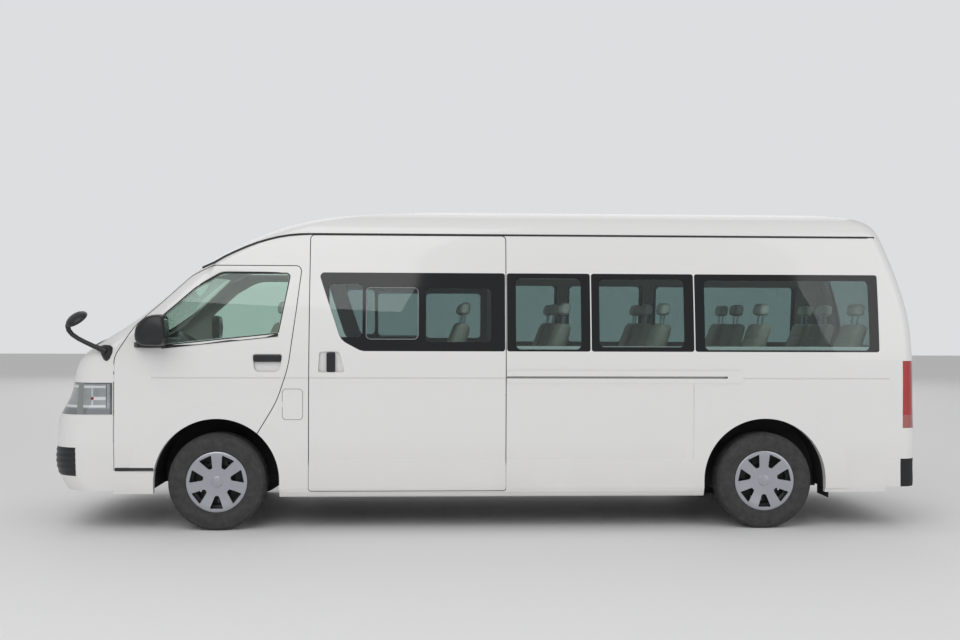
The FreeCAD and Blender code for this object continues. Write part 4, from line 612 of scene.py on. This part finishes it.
# Rubber mouldings: extruded black rubber, pressed on along the drip channel, round the front door glass and
# along the foot of the front door. The skin under the drip moulding is read a little off the door gap.
weather_rubber = Finish("extruded_epdm_rubber", Roughness=0.62)
weather_rubber.colour(weather_rubber.noise(40.0, 4.0), "#1C1D1F", "#2E3032")
DRIP_Z = 2.1002
DRIP = ((-0.098, 1.852), (-0.030, 1.896), (0.036, 1.936), (0.110, 1.972), (0.187, 2.006), (0.262, 2.035),
        (0.338, 2.058), (0.415, 2.078), (0.491, 2.091), (0.567, 2.098)) + tuple(
            (x, DRIP_Z) for x in (0.644, 1.5, 2.5, 3.5, 4.25, 4.50, 4.60, 4.67, 4.735))
BESIDE_GAP, CURVED_TO, DRIP_RADIUS = 0.006, 0.6, 0.0075
for side, word in SIDES:
    points = [(FRONT + x, side_skin(FRONT + x, z + (BESIDE_GAP if x > CURVED_TO else -BESIDE_GAP), side)
               + side * 0.001, z) for x, z in DRIP]
    strip = bead("drip_moulding_" + word, points, DRIP_RADIUS, weather_rubber, "root")

DOOR_GLASS = ((-0.390, 1.300, 0.025), (0.430, 1.388, 0.025), (0.512, 1.822, 0.030), (0.025, 1.822, 0.120),
              (-0.160, 1.716, 0.150), (-0.392, 1.510, 0.060))
SEAL_MIDDLE = Vector((FRONT + 0.05, 0, 1.58))
BELT = ((-0.386, 1.281), (0.424, 1.368), (0.428, 1.388), (-0.386, 1.301))
DOOR_FOOT = ((-0.706, 0.428), (-0.435, 0.428), (-0.435, 0.446), (-0.706, 0.446))
for side, word in SIDES:
    ring = []
    for place in rounded_path(DOOR_GLASS):
        x, z = FRONT + place.x, place.z
        off_x, off_z = x - SEAL_MIDDLE.x, z - SEAL_MIDDLE.z
        ring.append((x - 0.004 * off_x, side_skin(x - 0.012 * off_x, z - 0.012 * off_z, side) + side * 0.006,
                     z - 0.004 * off_z))
    seal = bead("door_glass_seal_" + word, ring, 0.007, weather_rubber, "front_door_" + word, closed=True)
    belt = sheet_piece("door_belt_trim_" + word, [(FRONT + x, z) for x, z in BELT], side, 0.0035, 0.006,
                       weather_rubber, "front_door_" + word)
    strip = sheet_piece("door_foot_strip_" + word, [(FRONT + x, z) for x, z in DOOR_FOOT], side, 0.0012, 0.004,
                        weather_rubber, "front_door_" + word)

# Grille: a moulded frame and bars plated in bright chrome, with a black cavity behind them.
chrome = Finish("bright_chrome_plate", Roughness=0.09, Metallic=1.0)
chrome.colour(chrome.noise(30.0, 4.0), "#D6D8DC", "#B9BCC2")
dress(chrome, "grille")

# Tail lamps: red acrylic lens moulded with fine upright flutes, over a bright reflector; the foot is paler.
red_lens = Finish("fluted_red_acrylic", Roughness=0.08, Coat_Weight=1.0, Coat_Roughness=0.03)
flutes = red_lens.bands(60.0, "Z")
red_lens.relief(flutes, 0.35, 0.001)
above_foot = red_lens.ramp(red_lens.axes()[2], 0.812, 0.818)
red_lens.colour(above_foot, "#A85A58", red_lens.mix(flutes, "#8E0F16", "#C81E27"))
dress(red_lens, "tail_lamps")

# Headlamps: a clear moulded lens over a vacuum-metallised reflector. Level bright bars wrap from the nose to
# the side, a red reflex dot sits between them, and the lens ends in a smoked strip at its rear edge.
# Each bar or shade is given as its reach in x, its reach in z and its colour.
LAMP_BARS = ((-3.2, -2.56, 0.81, 0.862, "#8A8F91"), (-3.2, -2.682, 0.868, 0.886, "#EEF1F3"),
             (-2.770, -2.682, 0.920, 0.944, "#EEF1F3"), (-3.2, -2.682, 1.004, 1.022, "#F2F4F6"),
             (-2.783, -2.770, 0.886, 1.004, "#DDE2E5"), (-2.682, -2.676, 0.862, 1.030, "#50555A"),
             (-2.656, -2.600, 0.81, 1.05, "#6B6E78"), (-3.2, -2.56, 1.031, 1.05, "#777C80"),
             (-2.886, -2.838, 0.81, 1.05, "#9AA09B"))
REFLEX_DOT = (-2.776, 0, 0.932)
lamp_clear = Finish("metallised_reflector_under_lens", Roughness=0.1, Metallic=0.6, Coat_Weight=1.0,
                    Coat_Roughness=0.02)
x_at, _, z_at = lamp_clear.axes()
bowl = lamp_clear.mix(lamp_clear.noise(9.0), "#7F878B", "#C6CCCF")
for x_low, x_high, z_low, z_high, tint in LAMP_BARS:
    mask = lamp_clear.calc("MULTIPLY", lamp_clear.between(x_at, x_low, x_high),
                           lamp_clear.between(z_at, z_low, z_high))
    bowl = lamp_clear.mix(mask, bowl, tint)
from_dot = lamp_clear.vector("DISTANCE", lamp_clear.vector("MULTIPLY", lamp_clear.at, (1, 0, 1)), REFLEX_DOT)
lamp_clear.colour(lamp_clear.ramp(from_dot, 0.010, 0.012, 1.0, 0.0), bowl, "#9E2F3A")
lamp_clear.relief(lamp_clear.bands(30.0, "X"), 0.15, 0.001)
dress(lamp_clear, "headlamps")

# Cabin trim: grained polypropylene mouldings for the instrument panel, soft polyurethane on the steering wheel.
trim_grey = Finish("grained_grey_polypropylene", Roughness=0.6)
trim_grey.relief(trim_grey.cells(600.0), 0.3, 0.0006)
trim_grey.colour(trim_grey.noise(6.0, 3.0), "#5E6064", "#6C6E72")
dress(trim_grey, "dashboard")
dark_grip = Finish("soft_grained_polyurethane", Roughness=0.5)
pores = dark_grip.cells(900.0)
dark_grip.relief(pores, 0.25, 0.0005)
dark_grip.colour(pores, "#2C2D30", "#3A3B3F")
dress(dark_grip, "steering_wheel")

# Floor: steel pan under a ribbed rubber mat; the same finish shows in the wheel houses from below.
mat_rubber = Finish("ribbed_rubber_mat", Roughness=0.78)
mat_rubber.relief(mat_rubber.bands(45.0, "Y"), 0.5, 0.001)
mat_rubber.colour(mat_rubber.noise(5.0, 6.0), "#18191A", "#2B2B2A")
dress(mat_rubber, "floor", "mud_flaps")

# Chassis: welded steel in black dip paint, with road dust; castings and forgings are bare and darker.
# The exhaust is aluminised steel, browned by heat.
chassis_black = Finish("black_dip_painted_steel", Roughness=0.55)
chassis_black.colour(chassis_black.ramp(chassis_black.noise(12.0, 6.0, 0.7), 0.45, 0.8), "#121314", "#3B3936")
dress(chassis_black, "chassis_frame", "seat_frames", "fuel_tank")
cast_iron = Finish("sand_cast_iron", Roughness=0.7, Metallic=0.6)
cast_iron.relief(cast_iron.noise(240.0, 4.0), 0.5, 0.0015)
cast_iron.colour(cast_iron.ramp(cast_iron.noise(18.0, 6.0), 0.5, 0.75), "#3A3B3C", "#4C3C30")
dress(cast_iron, "front_suspension", "rear_axle", "engine", "propeller_shaft", "knuckle_left", "knuckle_right")
pipe_steel = Finish("aluminised_exhaust_steel", Roughness=0.42, Metallic=0.9)
pipe_steel.colour(pipe_steel.noise(7.0, 5.0), "#8B8782", "#5F564C")
dress(pipe_steel, "exhaust")
dress(rubber, "spare_wheel")

# Intake corners: the black moulding of the lower intake runs on round each corner of the bumper, with louvres.
# Each row is cast outward from an upright axis inside the corner.
INTAKE_AXIS_X, INTAKE_AXIS_Y, INTAKE_FOOT = -2.75, 0.62, 0.388
INTAKE_FROM, INTAKE_SWEEP, INTAKE_ROWS, INTAKE_STEPS = 6, 59, 21, 18
ROW_GAP, LOUVRE_PROUD, GROOVE_PROUD = 0.010, 0.0045, 0.0008
for side, word in SIDES:
    bm = bmesh.new()
    grid = []
    for row in range(INTAKE_ROWS):
        axis = Vector((INTAKE_AXIS_X, side * INTAKE_AXIS_Y, INTAKE_FOOT + ROW_GAP * row))
        proud = LOUVRE_PROUD if row % 4 in (1, 2) else GROOVE_PROUD
        line = []
        for k in range(INTAKE_STEPS + 1):
            angle = math.radians(INTAKE_FROM + INTAKE_SWEEP * k / INTAKE_STEPS)
            way = Vector((-math.cos(angle), side * math.sin(angle), 0))
            line.append(bm.verts.new(skin.ray_cast(axis + way, -way)[0] + way * proud))
        grid.append(line)
    skinned(bm, grid, closed=False)
    bmesh.ops.solidify(bm, geom=bm.faces[:], thickness=0.003)
    corner_grille = piece("intake_corner_" + word, bm, black_abs, "root", bend=25)

# Registration plates: blank pressed aluminium, painted white, on the bumper and under the rear window.
plate_white = Finish("painted_plate_aluminium", Roughness=0.35)
plate_white.colour(plate_white.noise(50.0, 3.0), "#E4E5E3", "#D3D4D1")
PLATE_HIGH, PLATE_WIDE, PLATE_THICK, PLATE_GAP = 0.165, 0.330, 0.001, 0.0022
for name, end, height, body in (("front_plate", -1, 0.690, "root"), ("rear_plate", 1, 0.860, "tailgate")):
    bm = bmesh.new()
    bmesh.ops.create_grid(bm, x_segments=1, y_segments=1, size=0.5)
    bmesh.ops.scale(bm, vec=(PLATE_HIGH, PLATE_WIDE, 1.0), verts=bm.verts)
    rounded(bm, bm.verts[:], 0.012, 5, "VERTICES")
    rim = bmesh.ops.inset_region(bm, faces=bm.faces[:], thickness=0.004, depth=0.0)
    bmesh.ops.inset_region(bm, faces=[f for f in bm.faces if f not in rim["faces"]], thickness=0.003, depth=-0.0008)
    bmesh.ops.solidify(bm, geom=bm.faces[:], thickness=PLATE_THICK)
    bmesh.ops.rotate(bm, cent=(0, 0, 0), matrix=Matrix.Rotation(end * math.pi / 2, 3, "Y"), verts=bm.verts)
    face_x = end * (abs(end_skin(0.0, height, end)) + PLATE_GAP)
    bmesh.ops.translate(bm, verts=bm.verts, vec=(face_x, 0, height))
    plate = piece(name, bm, plate_white, body)


def tail_pad(half_y, half_z, middle_z, segments, lift, proud, narrow_y, narrow_z):
    """A low pad on the tailgate, its face narrower than its foot, as a bmesh."""
    bm = bmesh.new()
    bmesh.ops.create_grid(bm, x_segments=segments, y_segments=2, size=1.0)
    for vert in bm.verts:
        y, z = vert.co.x * half_y, middle_z + vert.co.y * half_z
        vert.co = Vector((end_skin(y, z, 1) + lift, y, z))
    for vert in extruded(bm, bm.faces[:]):
        vert.co = Vector((vert.co.x + proud, vert.co.y * narrow_y, middle_z + (vert.co.z - middle_z) * narrow_z))
    return bm


# Tailgate handle: a black pull bar in a shallow body-coloured surround, above the plate.
# Each is given as its half sizes, how far it stands out and its finish.
PULL_Z = 1.000
for name, half_y, half_z, proud, finish in (("tailgate_garnish", 0.330, 0.036, 0.005, paint),
                                            ("tailgate_pull", 0.120, 0.013, 0.008, black_abs)):
    bm = tail_pad(half_y, half_z, PULL_Z, 12, proud * 0.25, proud * 0.75, 0.97, 0.72)
    rounded(bm, [e for e in bm.edges if e.calc_face_angle(0) > 0.6], 0.0035, 2)
    piece(name, bm, finish, "tailgate")

# High-mounted stop lamp: a narrow red lens over the rear window.
bm = tail_pad(0.150, 0.013, 1.955, 10, 0.001, 0.010, 0.98, 0.8)
piece("high_stop_lamp", bm, red_lens, "tailgate")

# Wipers: pressed steel arms painted black on a cowl pivot, each with a rubber blade laid on the glass.
# Each is given as its end, its pivot and its tip (y and z), half the blade's length, and the arm's lift.
WIPERS = (("front_wiper_left", -1, -0.62, 1.285, -0.10, 1.372, 0.30, 0.016, "root"),
          ("front_wiper_right", -1, 0.12, 1.285, 0.58, 1.372, 0.30, 0.016, "root"),
          ("rear_wiper", 1, 0.05, 1.270, -0.36, 1.345, 0.20, 0.008, "tailgate"))
ARM_RADIUS, ARM_BOW, BLADE_RADIUS, BLADE_LIFT, BLADE_SLOPE = 0.0052, 0.375, 0.0048, 0.0065, 0.35
for name, end, pivot_y, pivot_z, tip_y, tip_z, half_blade, lift, body in WIPERS:
    points = []
    for k in range(9):
        t = k / 8
        y, z = pivot_y + (tip_y - pivot_y) * t, pivot_z + (tip_z - pivot_z) * t
        points.append((end_skin(y, z, end) + end * lift * (1 + ARM_BOW * math.sin(math.pi * t)), y, z))
    arm = bead(name + "_arm", points, ARM_RADIUS, black_abs, body)
    way = (tip_z - pivot_z) / (tip_y - pivot_y) * BLADE_SLOPE
    points = []
    for k in range(17):
        along = (k / 8 - 1) * half_blade
        y, z = tip_y + along, tip_z + way * along
        points.append((end_skin(y, z, end) + end * BLADE_LIFT, y, z))
    blade = bead(name + "_blade", points, BLADE_RADIUS, weather_rubber, body)

# Sliding window in the side door: an anodised aluminium channel round the pane that slides.
aluminium = Finish("satin_anodised_aluminium", Roughness=0.34, Metallic=1.0)
aluminium.colour(aluminium.noise(160.0, 3.0), "#A9ACAF", "#8E9195")
VENT = ((1.044, 1.352, 0.030), (1.411, 1.352, 0.030), (1.411, 1.719, 0.030), (1.044, 1.719, 0.030))
for side, word in SIDES:
    ring = [(FRONT + p.x, side_skin(FRONT + p.x, p.z, side) + side * 0.0005, p.z) for p in rounded_path(VENT, 6)]
    channel = bead("window_channel_" + word, ring, 0.0028, aluminium, "root", closed=True)

# Seats: moulded foam over steel, covered in woven cloth cut in panels and sewn. The cover swells between its
# seams, so each pad is blown up by cloth pressure, then its sewn channels are drawn in.
# Head rests wear white cotton covers.
seat_cloth = Finish("woven_seat_moquette", Roughness=0.9, Sheen_Weight=0.35, Sheen_Roughness=0.5)
woven = seat_cloth.calc("MULTIPLY", seat_cloth.bands(120.0, "Y", 0.6), seat_cloth.bands(120.0, "Z", 0.6))
seat_cloth.relief(woven, 0.4, 0.0008)
seat_cloth.colour(seat_cloth.calc("MULTIPLY", woven, seat_cloth.noise(7.0, 5.0)), "#B3AEA2", "#E0DCD0")
cotton = Finish("white_cotton_cover", Roughness=0.92, Sheen_Weight=0.2)
thread = cotton.cells(420.0)
cotton.relief(thread, 0.3, 0.0006)
cotton.colour(thread, "#E9E8E4", "#D8D6D0")

# Each pad has a side outline in x and z, a width, the places of its sewn channels across (y, both sides), and
# the place of its cross seam.
PADS = {"cushion": (((-0.455, 0.964), (-0.455, 1.066), (0.026, 1.042), (0.026, 0.964)), 0.398, (0.125,), (-0.17,)),
        "back": (((0.012, 1.085), (0.160, 1.480), (0.232, 1.464), (0.098, 1.040)), 0.388, (0.118,), (1.36,)),
        "head_rest": (((0.148, 1.536), (0.172, 1.626), (0.241, 1.614), (0.222, 1.520)), 0.226, (), ())}
PAD_EDGE, VOXEL, PRESSURE, MOST_SWELL, SWELL_FRAMES = 0.018, 0.022, 4.0, 0.013, 20
CHANNEL_DEPTH, SEAM_DEPTH, SEAM_WIDTH = 0.009, 0.008, 0.0075


def pad_mesh(name, corners, width, channels, cross_seams):
    """One padded form, from its side outline in x and z: remeshed, swollen by pressure, seams drawn in."""
    bm = bmesh.new()
    face = bm.faces.new([bm.verts.new((x, -width / 2, z)) for x, z in corners])
    bmesh.ops.translate(bm, verts=extruded(bm, [face]), vec=(0, width, 0))
    bmesh.ops.recalc_face_normals(bm, faces=bm.faces)
    rounded(bm, bm.edges[:], PAD_EDGE, 3)
    pad = placed(name + "_blank", mesh_of(name, bm))
    remesh = pad.modifiers.new("remesh", "REMESH")
    remesh.mode = "VOXEL"
    remesh.voxel_size = VOXEL
    even = baked(pad)
    pad.modifiers.clear()
    pad.data = even
    start = [v.co.copy() for v in even.vertices]
    cloth = pad.modifiers.new("cloth", "CLOTH")
    cloth.settings.quality = 4
    cloth.settings.use_pressure = True
    cloth.settings.uniform_pressure_force = PRESSURE
    cloth.settings.effector_weights.gravity = 0.0
    for moment in range(1, SWELL_FRAMES + 1):
        bpy.context.scene.frame_set(moment)
    blown = baked(pad)
    pad.modifiers.clear()
    for before, vert in zip(start, blown.vertices):
        moved = vert.co - before
        if moved.length > 1e-6:
            vert.co = before + moved.normalized() * MOST_SWELL * math.tanh(moved.length / MOST_SWELL)
    pad.data = blown
    bpy.context.scene.frame_set(1)
    smooth = pad.modifiers.new("smooth", "SUBSURF")
    smooth.levels = 1
    smooth.render_levels = 1
    fine = baked(pad)
    bpy.data.objects.remove(pad)
    for vert in fine.vertices:
        draw = 0.0
        for y in channels:
            draw += CHANNEL_DEPTH * math.exp(-((abs(vert.co.y) - y) / SEAM_WIDTH) ** 2)
        for level in cross_seams:
            place = vert.co.x if name == "cushion" else vert.co.z
            if abs(vert.co.y) < channels[0]:
                draw += SEAM_DEPTH * math.exp(-((place - level) / SEAM_WIDTH) ** 2)
        vert.co -= vert.normal * draw
    return fine


seat_meshes = {name: pad_mesh(name, *row) for name, row in PADS.items()}
ROWS, SEATS_ACROSS = (1.560, 2.300, 3.040, 3.780, 4.500), (-0.560, 0.130, 0.600)
COTTON_FROM = 1.548
PASSENGERS = [(FRONT + row, y) for row in ROWS for y in SEATS_ACROSS]
CREW = [(FRONT + 0.215, -0.470), (FRONT + 0.215, 0.470)]
for kind, places, node in (("passenger", PASSENGERS, "passenger_seats"), ("front", CREW, "front_seats")):
    for name, plural in (("cushion", "cushions"), ("back", "backs"), ("head_rest", "head_rests")):
        bm = bmesh.new()
        for x, y in places:
            bm.from_mesh(seat_meshes[name])
            bm.verts.ensure_lookup_table()
            fresh = bm.verts[-len(seat_meshes[name].vertices):]
            bmesh.ops.translate(bm, verts=fresh, vec=(x, y, 0))
        pads = piece(kind + "_" + plural, bm, seat_cloth, "root", bend=80)
        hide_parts(node)
        if name == "head_rest":
            pads.data.materials.append(cotton.material)
            for face in pads.data.polygons:
                if face.center.z > COTTON_FROM:
                    face.material_index = 1

# Head-rest posts: chromed steel rods between each back and its head rest, leaning as the back does.
POST_RADIUS, POST_LENGTH, POST_X, POST_Z = 0.006, 0.110, 0.190, 1.500
POST_LEAN = Matrix.Rotation(math.radians(8), 3, "Y")
for kind, places in (("passenger", PASSENGERS), ("front", CREW)):
    bm = bmesh.new()
    for x, y in places:
        for offset in (-0.055, 0.055):
            tube = bmesh.ops.create_cone(bm, cap_ends=True, segments=12, radius1=POST_RADIUS, radius2=POST_RADIUS,
                                         depth=POST_LENGTH)
            bmesh.ops.rotate(bm, verts=tube["verts"], cent=(0, 0, 0), matrix=POST_LEAN)
            bmesh.ops.translate(bm, verts=tube["verts"], vec=(x + POST_X, y + offset, POST_Z))
    posts = piece(kind + "_head_rest_posts", bm, chrome, "root")

low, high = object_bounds()
